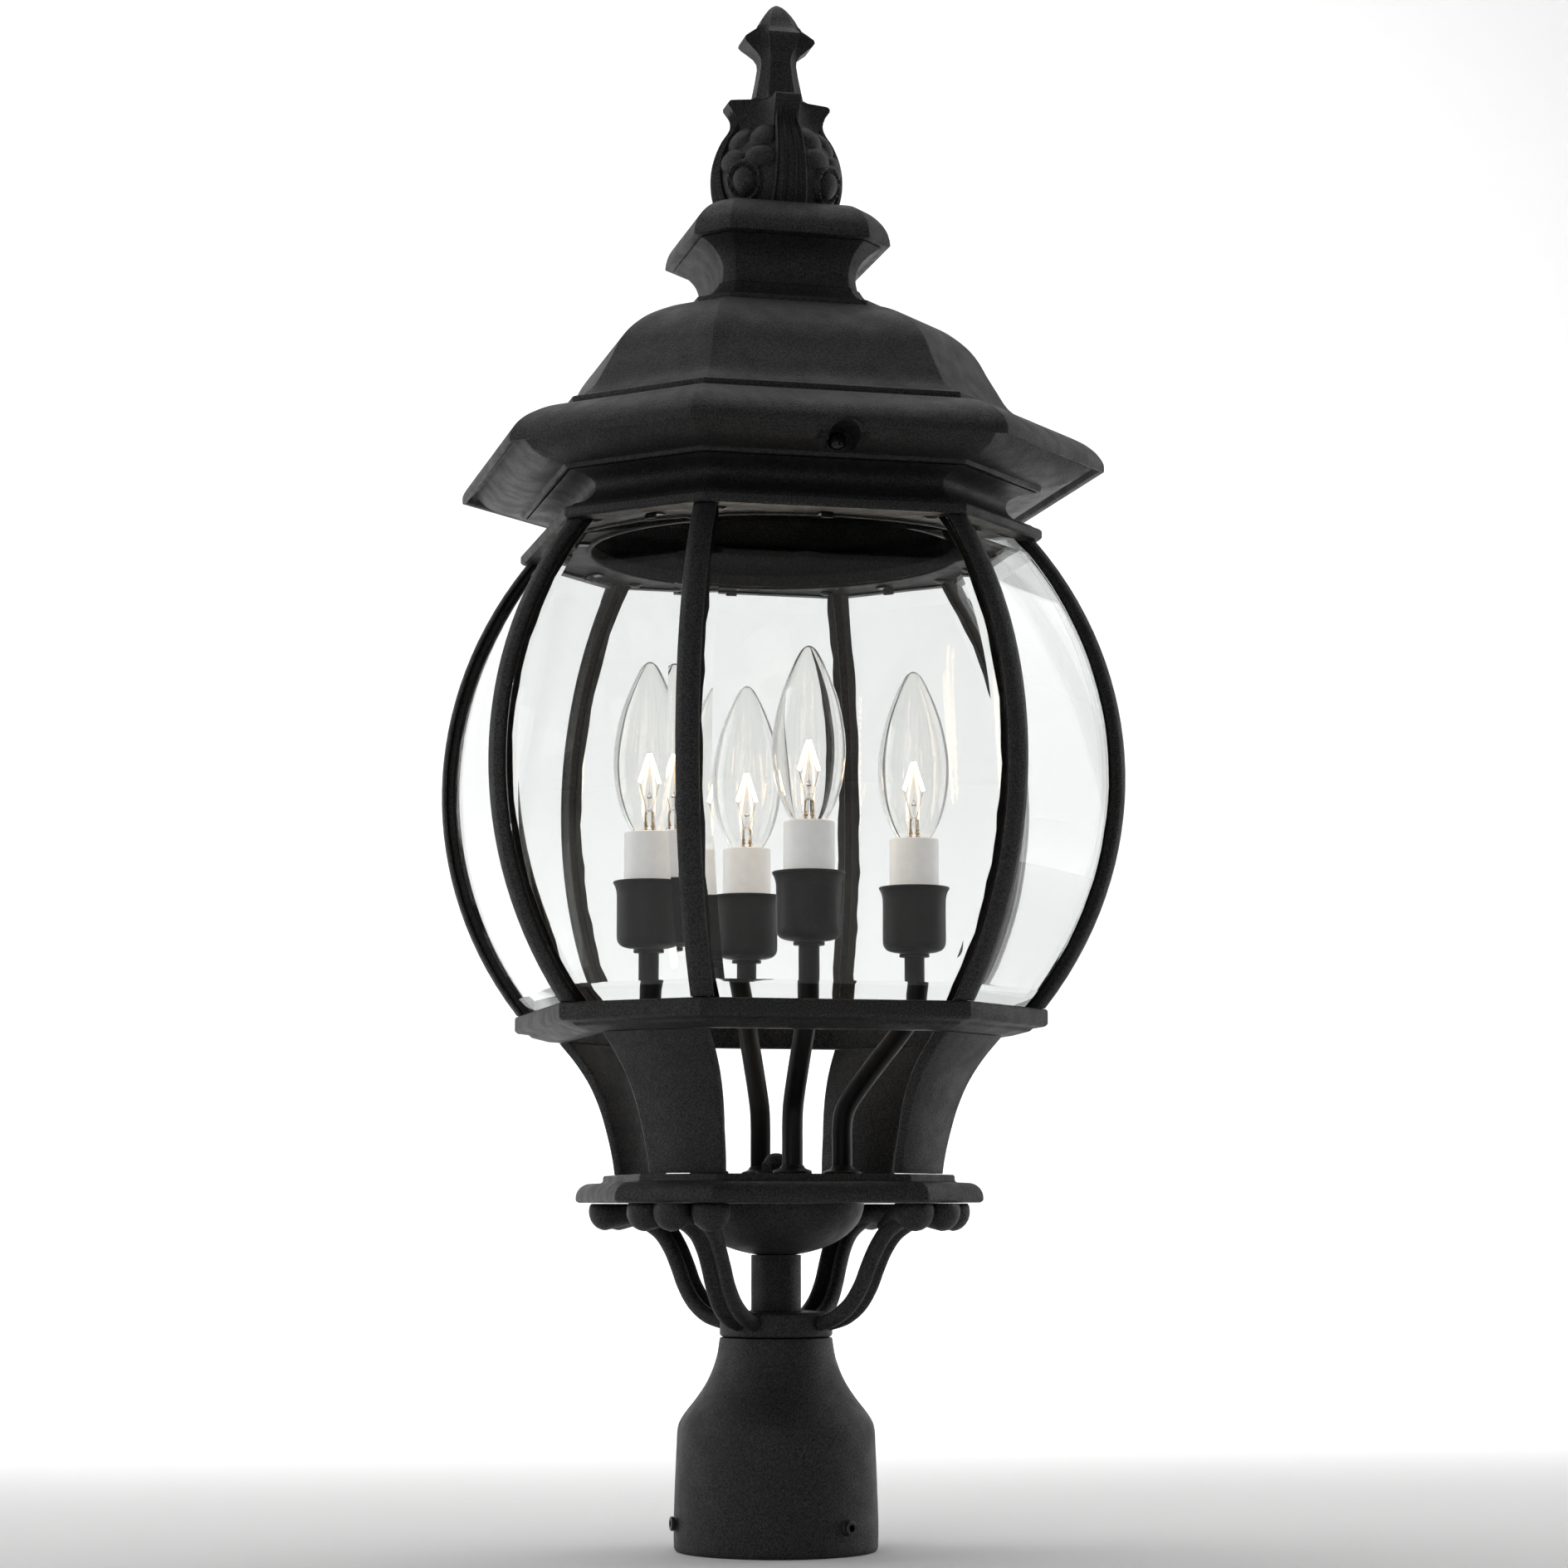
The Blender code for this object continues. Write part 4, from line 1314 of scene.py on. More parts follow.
    def pane(self, kind: str, shift: float) -> bpy.types.Mesh:
        """One pane that faces +X.

        Args:
            kind: wide or narrow.
            shift: How much further from the axis it lies than the wide ones.

        Returns:
            Its mesh, with the border ground down on the outside.
        """
        levels = self.heights()
        levels = sorted([*levels, levels[0] + self.bevel, levels[-1] - self.bevel])
        rings = []
        for height in levels:
            apothem, stretch = self.bulge(height)
            front = (self.rib_cap + HAIR) * stretch
            back = front + self.glass * stretch
            half = apothem * TAN_EIGHTH + (FLAT_EXCESS if kind == "wide" else -DIAGONAL_EXCESS)
            margin = (self.rib_web / 2 + HAIR) / cos(pi / 8)
            edge = half - margin - (front + self.bevel_loss) * TAN_EIGHTH
            flat = edge - self.bevel
            end = min(height - levels[0], levels[-1] - height) / self.bevel
            ground = self.bevel_loss * max(0.0, 1 - end)
            outline = [
                (front + self.bevel_loss, edge), (front + ground, flat), (front + ground, 0),
                (front + ground, -flat), (front + self.bevel_loss, -edge), (back, -edge + 0.0008),
                (back, 0), (back, edge - 0.0008),
            ]
            rings.append([Vector((apothem + shift - depth, side, height)) for depth, side in outline])
        return Solid().loft(rings).mesh(f"{kind}_pane", 6)

    def sealant(self) -> None:
        """Uneven beads of sealant behind the panes, on both sides of every rib."""
        start, inner = self.rib_cap + HAIR + self.glass + 0.0002, self.rib_web / 2 + 0.0002
        solid = Solid()
        for side in (-1, 1):

            def outline(t: float, side: int = side) -> list[Point]:
                """The bead at a share of the height."""
                ripple = sin(41 * t + side) + 0.7 * sin(97 * t + 2.1 * side) + 0.5 * sin(173 * t + 0.7)
                width = self.rib_width / 2 + 0.0005 + 0.00035 * ripple
                return [
                    (start, side * inner),
                    (start, side * width),
                    (start + 0.0007, side * (width - 0.0004)),
                    (start + 0.0012, side * inner),
                ]

            solid.loft(self.along_corner(outline))
        self.on_corners("glazing_sealant", solid.mesh("bead", 60), SEAL, Slot.COAT)

    def top_plate(self) -> None:
        """Plate with the round opening, a rolled lip, glass clips and flat screws."""
        low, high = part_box("cage_top_plate")
        opening = self.opening
        edge = from_box(
            "cage_top_plate", [(0.0009, 0)], [(0, 0.0009)], [(0, 0.0036)], [(0.0009, 0.0045)],
            closed=False, fillet=0.0003,
        )
        plate = Solid().octagonal(edge, closed=False, soft=0.001).mesh("plate")
        middle = Vector((0, 0, (low[2] + high[2]) / 2))
        bore = Solid().turned(
            [(opening, middle.z - 0.01), (opening, middle.z + 0.01)], closed=False, sides=128
        ).mesh("bore")
        mesh = self.shop.cut(plate, [(bore, "DIFFERENCE")], "cage_ceiling_plate")
        self.shop.piece("cage_ceiling_plate", mesh, COAT, Slot.COAT, ["cage_top_plate"])
        lip = trace(
            (opening, low[2] - 0.0014),
            [(opening + 0.0016, low[2] - 0.0014)],
            [(opening + 0.0022, low[2] - 0.0002)],
            [(opening, low[2] - 0.0002)],
            fillet=0.0003,
        )
        self.shop.piece("opening_lip", Solid().turned(lip, sides=128).mesh("opening_lip"), COAT, Slot.COAT)
        self.clips(low[2])

    def clips(self, ceiling: float) -> None:
        """Bent tabs over the panes' heads, and a flat screw at each corner of the plate.

        Args:
            ceiling: Height of the plate's underside.
        """
        profile = [(-0.005, -0.0003), (0.001, -0.0003), (0.0022, -0.0012), (0.0026, -0.0031)]
        profile += [(0.0018, -0.0031), (0.0013, -0.0019), (0.0006, -0.0011), (-0.005, -0.0011)]
        spot = self.clip_reach
        for kind, extra, first in (("wide", 0.0, 0.0), ("narrow", DIAGONAL_EXCESS, pi / 4)):
            ends = [[Vector((x, side, ceiling + z)) for x, z in profile] for side in (-0.0024, 0.0024)]
            tab = Solid().loft(ends)
            sizes = {"Count": 4, "Reach": spot + extra, "First_Angle": first}
            grown = self.shop.grow(f"glass_clips_{kind}", tab.mesh("clip"), self.shop.ring, OXIDE, **sizes)
            self.shop.piece(f"glass_clips_{kind}", grown, OXIDE, Slot.STEEL)
        head = [
            (0.0028, ceiling - 0.0002), (0.0028, ceiling - 0.0007), (0.0018, ceiling - 0.0013),
            (0.0004, ceiling - 0.0015),
        ]
        screw = Solid().turned(head, closed=False, sides=24).mesh("flat_screw")
        sizes = {"Apothem": spot, "Half_Side": spot * TAN_EIGHTH + FLAT_EXCESS - 0.004}
        grown = self.shop.grow("ceiling_screws", screw, self.shop.corners, OXIDE, **sizes)
        self.shop.piece("ceiling_screws", grown, OXIDE, Slot.STEEL)

    def frieze(self) -> None:
        """Hollow moulding, and the collar that the roof drops over."""
        section = from_box(
            "frieze_ring",
            [(0.0007, 0)],
            [(0.0015, 0.0012)],
            [
                (0.0062, 0.0029), (0.01, 0.0057), (0.0114, 0.0089), (0.0104, 0.0117), (0.0067, 0.0137),
                (0.0012, 0.0146),
            ],
            [(0, 0.0149)],
            [(0.0087, 0.0149)],
            [(0.0129, 0.0134), (0.0144, 0.0089), (0.0127, 0.0042), (0.0102, 0)],
        )
        mesh = Solid().octagonal(section).mesh("frieze_moulding")
        self.shop.piece("frieze_moulding", mesh, COAT, Slot.COAT, ["frieze_ring"])
        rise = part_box("roof_collar")[1][2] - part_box("roof_collar")[0][2]
        wall = from_box("roof_collar", [(0, 0)], [(0, rise)], [(0.003, rise)], [(0.003, 0)])
        mesh = Solid().octagonal(wall).mesh("collar_wall")
        self.shop.piece("collar_wall", mesh, COAT, Slot.COAT, ["roof_collar"])


@dataclass
class Roof:
    """Eave, dome, neck and cap, with the two screws that hold the roof on."""

    shop: Workshop
    pocket: float = 0.0066
    pocket_back: float = 0.101
    pocket_height: float = 0.4338
    boss_half: float = 0.01
    boss_reach: tuple[float, float] = (0.0975, 0.1145)
    boss_heights: tuple[float, float] = (0.43345, 0.44495)
    screw_height: float = 0.435
    screw_hole: float = 0.0022

    def build(self) -> None:
        """Make every piece."""
        self.eave()
        self.dome()
        self.neck()
        self.cap()
        for name, side in (("front", -1), ("rear", 1)):
            self.screw(name, side)

    def eave(self) -> None:
        """Broad eave with a channelled underside and a screw pocket front and rear."""
        section = from_box(
            "roof_eave",
            [(0.0261, 0)],
            [(0.0242, 0)],
            [(0.0238, 0.0017)],
            [(0.0197, 0.002), (0.0157, 0.0028), (0.0104, 0.0053), (0.007, 0.0088), (0.0049, 0.0112)],
            [(0.0027, 0.0104)],
            [(0.0018, 0.0078)],
            [(0, 0.0073)],
            [
                (0.0001, 0.0107), (0.0022, 0.0145), (0.0051, 0.0176), (0.0087, 0.0202),
                (0.0164, 0.0241), (0.0252, 0.0268),
            ],
            [(0.0287, 0.0268)],
            [(0.0287, 0.025)],
            [
                (0.0172, 0.0217), (0.0097, 0.018), (0.0067, 0.0147), (0.009, 0.0123), (0.0127, 0.0081),
                (0.017, 0.0061),
            ],
            [(0.0261, 0.0061)],
        )
        mesh = Solid().octagonal(section).mesh("eave")
        tools = []
        half, (near, far), (bottom, top) = self.boss_half, self.boss_reach, self.boss_heights
        corners = ((-half, near), (half, near), (half, far), (-half, far))
        for side in (-1, 1):
            boss = Solid().loft([[Vector((x, side * y, z)) for x, y in corners] for z in (bottom, top)])
            tools.append((boss.mesh("boss"), "UNION"))
        for side in (-1, 1):
            back = Vector((0, side * self.pocket_back, self.pocket_height))
            tools.append((rod(back, back + Vector((0, side * 0.03, 0)), self.pocket, 48), "DIFFERENCE"))
            hole = Vector((0, side * 0.09, self.screw_height))
            tools.append((rod(hole, hole + Vector((0, side * 0.02, 0)), self.screw_hole, 20), "DIFFERENCE"))
        self.shop.piece(
            "eave_casting",
            self.shop.cut(mesh, tools, "eave_casting"),
            COAT,
            Slot.COAT,
            ["roof_eave"],
            body="roof",
        )

    def dome(self) -> None:
        """Convex dome over a stepped foot."""
        section = from_box(
            "roof_dome",
            [(0, 0)],
            [(0, 0.0026)],
            [(0.0047, 0.004)],
            [
                (0.0095, 0.0085), (0.0138, 0.0159), (0.0172, 0.0221), (0.0205, 0.0286),
                (0.0237, 0.0332), (0.0277, 0.0373), (0.0328, 0.0413), (0.0388, 0.0446),
                (0.0453, 0.0475), (0.0517, 0.0496),
            ],
            [(0.0602, 0.0496)],
            [(0.0602, 0.0466)],
            [
                (0.052, 0.0466), (0.046, 0.0446), (0.0397, 0.0416), (0.0342, 0.0386), (0.0295, 0.0347),
                (0.0258, 0.0308), (0.023, 0.0268), (0.0199, 0.0207), (0.0165, 0.0143), (0.0115, 0.0063),
                (0.0062, 0),
            ],
        )
        mesh = Solid().octagonal(section).mesh("dome_casting")
        self.shop.piece("dome_casting", mesh, COAT, Slot.COAT, ["roof_dome"], body="roof")

    def neck(self) -> None:
        """Waisted neck: a scotia above a small step, a flared foot and a thin flange."""
        section = from_box(
            "roof_neck",
            [(0.0014, 0)],
            [(0.0014, 0.0005)],
            [(0, 0.0007)],
            [(0, 0.003)],
            [(0.0024, 0.0032)],
            [(0.0062, 0.0052), (0.0088, 0.0078), (0.0104, 0.0105)],
            [(0.0112, 0.0108)],
            [
                (0.0118, 0.0145), (0.0117, 0.0175), (0.0104, 0.0212), (0.008, 0.0244), (0.0048, 0.027),
                (0.0017, 0.0287),
            ],
            [(0.0062, 0.0287)],
            [
                (0.0117, 0.0255), (0.0137, 0.021), (0.0147, 0.016), (0.0142, 0.011), (0.0117, 0.005),
                (0.0072, 0),
            ],
            fillet=0.0003,
        )
        mesh = Solid().octagonal(section, soft=0.001).mesh("neck_casting")
        self.shop.piece("neck_casting", mesh, COAT, Slot.COAT, ["roof_neck"], body="roof")

    def cap(self) -> None:
        """Rounded cap with a thin lip, drilled for the finial's stud."""
        section = from_box(
            "roof_cap",
            [(0.0165, 0.0177)],
            [
                (0.0135, 0.0171), (0.01, 0.0156), (0.0067, 0.0134), (0.0038, 0.0104), (0.0015, 0.0068),
                (0.0003, 0.003),
            ],
            [(0, 0.0004)],
            [(0.0015, 0)],
            [(0.0042, 0)],
            [(0.0042, 0.0035), (0.006, 0.0073), (0.0085, 0.0105), (0.012, 0.0128), (0.019, 0.0147)],
            closed=False,
        )
        cap = Solid().octagonal(section, closed=False, soft=0.001).mesh("cap")
        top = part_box("roof_cap")[1][2]
        bore = rod(Vector((0, 0, top - 0.01)), Vector((0, 0, top + 0.01)), 0.0038, 24)
        mesh = self.shop.cut(cap, [(bore, "DIFFERENCE")], "cap_casting")
        self.shop.piece("cap_casting", mesh, COAT, Slot.COAT, ["roof_cap"], body="roof")

    def screw(self, name: str, side: int) -> None:
        """Pan-head screw with a cross recess, pointing at the axis.

        Args:
            name: Which one, front or rear.
            side: Sign of Y on its side.
        """
        seat = self.pocket_back + HAIR
        profile = [(0.0003, -0.0062), (0.0012, -0.0062), (0.0019, -0.0055)]
        profile += [(0.0019 - (0.0002 if i % 2 else 0), -0.0055 + 0.00035 * i) for i in range(1, 15)]
        profile += [
            (0.0019, -0.0003), (0.0019, 0), (0.0035, 0), (0.0036, 0.0005), (0.0034, 0.0013),
            (0.0026, 0.0021), (0.0004, 0.0026),
        ]
        body = Solid().turned(profile, closed=False, sides=32).mesh("screw")
        outline = ((-0.0019, -0.0003), (0.0019, -0.0003), (0.0019, 0.0003), (-0.0019, 0.0003))
        recess = []
        for turn in (0.3, 0.3 + pi / 2):
            blade = Solid().loft([[Vector((*corner, z)) for corner in outline] for z in (0.0012, 0.004)])
            blade.moved(Matrix.Rotation(turn, 4, "Z"))
            recess.append((blade.mesh("blade"), "DIFFERENCE"))
        mesh = self.shop.cut(body, recess, f"pan_head_screw_{name}")
        outward = Vector((0, side, 0))
        align = outward.to_track_quat("Z", "X").to_matrix().to_4x4()
        mesh.transform(Matrix.Translation((0, side * seat, self.screw_height)) @ align)
        self.shop.piece(
            f"pan_head_screw_{name}", mesh, OXIDE, Slot.STEEL, [f"roof_screw_{name}"],
            body=f"roof_screw_{name}_body",
        )


@dataclass
class Finial:
    """Ball carved with lobes and eyes under four fluted leaves, a flared crown and a lobed spire."""

    shop: Workshop
    ball_radius: float = 0.0278
    ball_rise: float = 0.0145
    eye: float = 0.0061
    eye_rise: float = 0.0098
    ridges: tuple[float, float] = (0.32, 0.88)
    ridge_half: float = 0.15
    ridge_height: float = 0.0015
    leaf_depth: float = 0.0022

    def build(self) -> None:
        """Make the finial as one casting."""
        low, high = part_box("finial")
        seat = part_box("roof_cap")[1][2] + HAIR
        solid = Solid()
        solid.turned(
            [
                (0.0012, low[2]), (0.0032, low[2] + 0.0006), (0.0032, seat), (0.02, seat),
                (0.0236, seat + 0.0004),
            ],
            closed=False,
            sides=40,
        )
        self.ball(solid, seat)
        self.spire(solid, seat, high[2])
        mesh = solid.mesh("finial_core", 30)
        leaves = self.shop.grow(
            "leaves", self.leaf(seat), self.shop.ring, COAT, Count=4, Reach=0.0, First_Angle=0.0,
        )
        whole = Solid()
        for part in (mesh, leaves):
            whole.work.from_mesh(part)
        self.shop.piece(
            "finial_casting", whole.mesh("finial_casting", 30), COAT, Slot.COAT, ["finial"],
            body="finial_body",
        )

    def relief(self, turn: float, rise: float) -> float:
        """How far the ball's carving stands out.

        Args:
            turn: Direction from the axis, in radians.
            rise: Height above the seat.

        Returns:
            The height of the carving: two lobes beside each leaf, and an eye in a ring on the diagonals.
        """
        side = abs((turn + pi / 4) % (pi / 2) - pi / 4)
        deep = 0.0
        for middle, half, height in ((0.0303, 0.0056, 0.0023), (0.0197, 0.0049, 0.0023)):
            share = ((side - radians(29)) / radians(16)) ** 2 + ((rise - middle) / half) ** 2
            deep = max(deep, height * sqrt(max(0.0, 1 - share)))
        across = (pi / 4 - side) * self.ball_radius
        away = hypot(across, rise - self.eye_rise) / self.eye
        deep = max(deep, 0.003 * sqrt(max(0.0, 1 - away**2)))
        return max(deep, 0.002 * (1 - ((away - 1.3) / 0.2) ** 2))

    def ball(self, solid: Solid, seat: float) -> None:
        """Add the carved ball, cut level where it stands on the cap.

        Args:
            solid: The finial's form.
            seat: Height of the cap's top.
        """
        centre, radius = self.ball_rise, self.ball_radius - 0.0018
        rows, columns, rings = 72, 176, []
        low, high = radians(-33.5), radians(64)
        for row in range(rows + 1):
            angle = low + (high - low) * row / rows
            rise = max(centre + radius * sin(angle), 0.0)
            ring = []
            for column in range(columns):
                turn = 2 * pi * column / columns
                reach = radius * cos(angle) + self.relief(turn, rise) * cos(angle)
                up = rise + self.relief(turn, rise) * max(sin(angle), 0.0)
                ring.append(Vector((reach * cos(turn), reach * sin(turn), seat + up)))
            rings.append(ring)
        solid.loft(rings)

    def star(self, height: float, reach: float, half: float, diagonal: float) -> Ring:
        """A four-lobed section.

        Args:
            height: Its height.
            reach: Distance from the axis to a lobe's end.
            half: Half the width of a lobe's end.
            diagonal: Distance from the axis on the diagonals.

        Returns:
            The section's points.
        """
        ring = []
        for quarter in range(4):
            turn = Matrix.Rotation(quarter * pi / 2, 3, "Z")
            start, end = Vector((reach, half)), Vector((half, reach))
            waist = Vector((diagonal, diagonal)) / sqrt(2)
            pull = 2 * waist - (start + end) / 2
            ring.append(turn @ Vector((reach, -half, height)))
            for t in (0, 0.2, 0.4, 0.6, 0.8):
                point = (1 - t) ** 2 * start + 2 * t * (1 - t) * pull + t**2 * end
                ring.append(turn @ Vector((point.x, point.y, height)))
        return ring

    def spire(self, solid: Solid, seat: float, top: float) -> None:
        """Add the crown, the tapered shaft, the spade lobes and the point.

        Args:
            solid: The finial's form.
            seat: Height of the cap's top.
            top: Height of the finial's top.
        """
        levels = [
            (0.033, 0.0165, 0.0053, 0.015), (0.0385, 0.0176, 0.0052, 0.0128),
            (0.042, 0.019, 0.0052, 0.0122),
        ]
        levels += [
            (0.0445, 0.0208, 0.0054, 0.0118), (0.0462, 0.022, 0.0055, 0.0115),
            (0.0474, 0.0221, 0.0055, 0.0113),
        ]
        levels += [
            (0.0484, 0.0212, 0.0054, 0.011), (0.0487, 0.0195, 0.0053, 0.0108),
            (0.0492, 0.0125, 0.0058, 0.0112),
        ]
        levels += [
            (0.0502, 0.0102, 0.0058, 0.0112), (0.053, 0.0097, 0.0054, 0.0106),
            (0.06, 0.0084, 0.0047, 0.0092),
        ]
        levels += [
            (0.0655, 0.0076, 0.0043, 0.0084), (0.0678, 0.0078, 0.0044, 0.0085),
            (0.07, 0.0092, 0.0048, 0.0088),
        ]
        levels += [
            (0.0722, 0.0118, 0.0056, 0.0093), (0.0742, 0.0143, 0.0064, 0.0097),
            (0.0755, 0.0152, 0.0068, 0.0098),
        ]
        levels += [
            (0.0768, 0.0149, 0.0068, 0.0098), (0.079, 0.0122, 0.006, 0.0096),
            (0.0808, 0.0097, 0.0054, 0.0094),
        ]
        levels += [
            (0.0822, 0.009, 0.005, 0.0093), (0.0828, 0.0084, 0.0047, 0.009),
            (0.0852, 0.0073, 0.0041, 0.008),
        ]
        levels += [
            (0.088, 0.0056, 0.0032, 0.0062), (0.0903, 0.0039, 0.0023, 0.0043),
            (0.0918, 0.0024, 0.0015, 0.0027),
        ]
        reach = top - seat
        rings = [self.star(seat + rise, *sizes) for rise, *sizes in levels]
        rings.append(self.star(seat + reach, 0.0006, 0.0004, 0.0007))
        solid.loft(rings)

    def leaf(self, seat: float) -> bpy.types.Mesh:
        """Make a fluted leaf up the ball and out under the crown's tip, facing +X.

        Args:
            seat: Height of the cap's top.

        Returns:
            The leaf.
        """
        path = [
            (0.0227, 0.0004), (0.0254, 0.0068), (0.0264, 0.0145), (0.0256, 0.0225), (0.0226, 0.0305),
            (0.0192, 0.0358),
        ]
        path += [(0.018, 0.0395), (0.0186, 0.0428), (0.0204, 0.0456), (0.0218, 0.0472)]
        widths = [0.0078, 0.0074, 0.0069, 0.0064, 0.0058, 0.0051, 0.0047, 0.0046, 0.0048, 0.0049]
        line = curve_through(path, 5)
        spans = curve_through([(i, width) for i, width in enumerate(widths)], 5)
        rings = []
        for i, point in enumerate(line):
            along = heading(line, i)
            out = Vector((along.y, -along.x))
            fade = min(1.0, (len(line) - 1 - i) / 9)
            ring = []
            for k in range(37):
                across = -1 + k / 18
                away = [abs(abs(across) - ridge) / self.ridge_half for ridge in self.ridges]
                lift = 0.0002 + self.ridge_height * sum(max(0.0, 1 - share) for share in away) * fade
                ring.append(self.leaf_point(point, out, lift, across * spans[i].y, seat))
            for back in (spans[i].y * 0.8, -spans[i].y * 0.8):
                ring.append(self.leaf_point(point, out, -self.leaf_depth, back, seat))
            rings.append(ring)
        return Solid().loft(rings).mesh("leaf", 40)

    def leaf_point(self, point: Vector, out: Vector, lift: float, side: float, seat: float) -> Vector:
        """Place a point of the leaf's section, bent round the ball and kept off the cap.

        Args:
            point: (reach, rise) on the leaf's line.
            out: Direction away from the ball there.
            lift: Distance from the line along that direction.
            side: Distance across the leaf.
            seat: Height of the cap's top.

        Returns:
            The point.
        """
        droop = side**2 / (2 * self.ball_radius)
        spot = point + out * (lift - droop)
        reach = min(spot.x, self.ball_radius)
        return Vector((reach, side, max(seat + spot.y, seat)))


@dataclass
class CandleLamp:
    """One lamp: bent arm, cup, white sleeve, and a clear bulb with its two filaments."""

    shop: Workshop
    place: str
    arm_radius: float = 0.0042
    foot: float = 0.028
    envelope: float = 0.0009

    def build(self) -> None:
        """Make every piece of this lamp."""
        low, high = (Vector(corner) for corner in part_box(f"socket_cup_{self.place}"))
        self.axis = (low + high) / 2
        self.cup_low = low.z
        self.reach = hypot(self.axis.x, self.axis.y)
        self.turn = Matrix.Rotation(Vector((1, 0)).angle_signed(self.axis.xy) * -1, 4, "Z")
        self.arm()
        self.cup()
        self.sleeve()
        self.bulb()

    def set(
        self,
        kind: str,
        solid: Solid,
        finish: Finish,
        body: str,
        slot: Slot,
        nodes: Sequence[str] = (),
        crease: float = 32.0,
    ) -> None:
        """Make a piece of this lamp from a form that stands on the lamp's own axis.

        Args:
            kind: What it is, the first half of its name.
            solid: The form.
            finish: Its finish.
            body: The body it rides on.
            slot: The record's slot for its finish.
            nodes: The CAD nodes it stands for.
            crease: Angle above which an edge stays sharp, in degrees.
        """
        solid.moved(Matrix.Translation((self.axis.x, self.axis.y, 0)))
        name = f"{kind}_{self.place}"
        self.shop.piece(name, solid.mesh(name, crease), finish, slot, nodes, body)

    def arm(self) -> None:
        """Tube from a flanged foot to a thin disc under the cup."""
        low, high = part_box(f"lamp_arm_{self.place}")
        lean, base, top = self.reach - self.foot, low[2], high[2]
        line = [
            (0, 0.0012), (0, 0.012), (0, 0.0195), (0.04, 0.0265), (0.17, 0.0334), (0.5, 0.0468),
            (0.83, 0.0595), (0.96, 0.066), (1, 0.0735),
        ]
        path = curve_through([(self.foot + lean * share, 0, base + rise) for share, rise in line], 6)
        path.append(Vector((self.reach, 0, top - 0.001)))
        solid = Solid().tube(path, self.arm_radius, 28)
        flange = trace(
            (0.0035, 0), [(0.0079, 0)], [(0.0079, 0.0012)], [(0.0052, 0.0022)], [(0.0044, 0.0036)],
            [(0.0035, 0.0036)], fillet=0.0004,
        )
        flange_form = Solid().turned([(r, base + z) for r, z in flange], sides=40)
        flange_form.moved(Matrix.Translation((self.foot, 0, 0)))
        collar = trace(
            (0.0035, -0.0015), [(0.0063, -0.0015)], [(0.0063, -0.0001)], [(0.0035, -0.0001)],
            fillet=0.0003,
        )
        collar_form = Solid().turned([(r, top + z) for r, z in collar], sides=40)
        collar_form.moved(Matrix.Translation((self.reach, 0, 0)))
        for form in (flange_form, collar_form):
            part = form.mesh("part")
            solid.work.from_mesh(part)
        solid.moved(self.turn)
        name = f"bent_arm_{self.place}"
        self.shop.piece(name, solid.mesh(name), PAINT, Slot.COAT, [f"lamp_arm_{self.place}"])

    def cup(self) -> None:
        """Spun cup with a rounded floor and a flared, rolled rim, and the lampholder inside."""
        section = trace(
            (0.0004, 0),
            [(0.0072, 0)],
            [(0.0096, 0.0004), (0.0118, 0.0014), (0.013, 0.0034), (0.0132, 0.006)],
            [(0.0132, 0.0218), (0.0135, 0.0238), (0.0141, 0.0256), (0.0147, 0.0265)],
            [(0.0147, 0.0272), (0.0142, 0.0274), (0.0133, 0.0262), (0.0124, 0.024), (0.0119, 0.0218)],
            [(0.0119, 0.0028)],
            [(0.0086, 0.0028)],
            [(0.0086, 0.0422)],
            [(0.0063, 0.0422)],
            [(0.0063, 0.02)],
            [(0.0004, 0.02)],
            closed=False,
            fillet=0.0003,
        )
        solid = Solid().turned([(r, self.cup_low + z) for r, z in section], closed=False, sides=64)
        self.set("lamp_cup", solid, PAINT, "frame", Slot.COAT, [f"socket_cup_{self.place}"])

    def sleeve(self) -> None:
        """Moulded candle sleeve, turned in at the top."""
        low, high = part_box(f"candle_sleeve_{self.place}")
        top = high[2] - low[2]
        section = trace(
            (0.0092, 0),
            [(0.0103, 0)],
            [(0.0103, top - 0.001), (0.0101, top - 0.0003), (0.0094, top)],
            [(0.0073, top - 0.0002)],
            [(0.0073, top - 0.0014)],
            [(0.0092, top - 0.0016)],
            fillet=0.0003,
        )
        solid = Solid().turned([(r, low[2] + z) for r, z in section], sides=64)
        self.set("candle", solid, CANDLE, "frame", Slot.CANDLE, [f"candle_sleeve_{self.place}"])

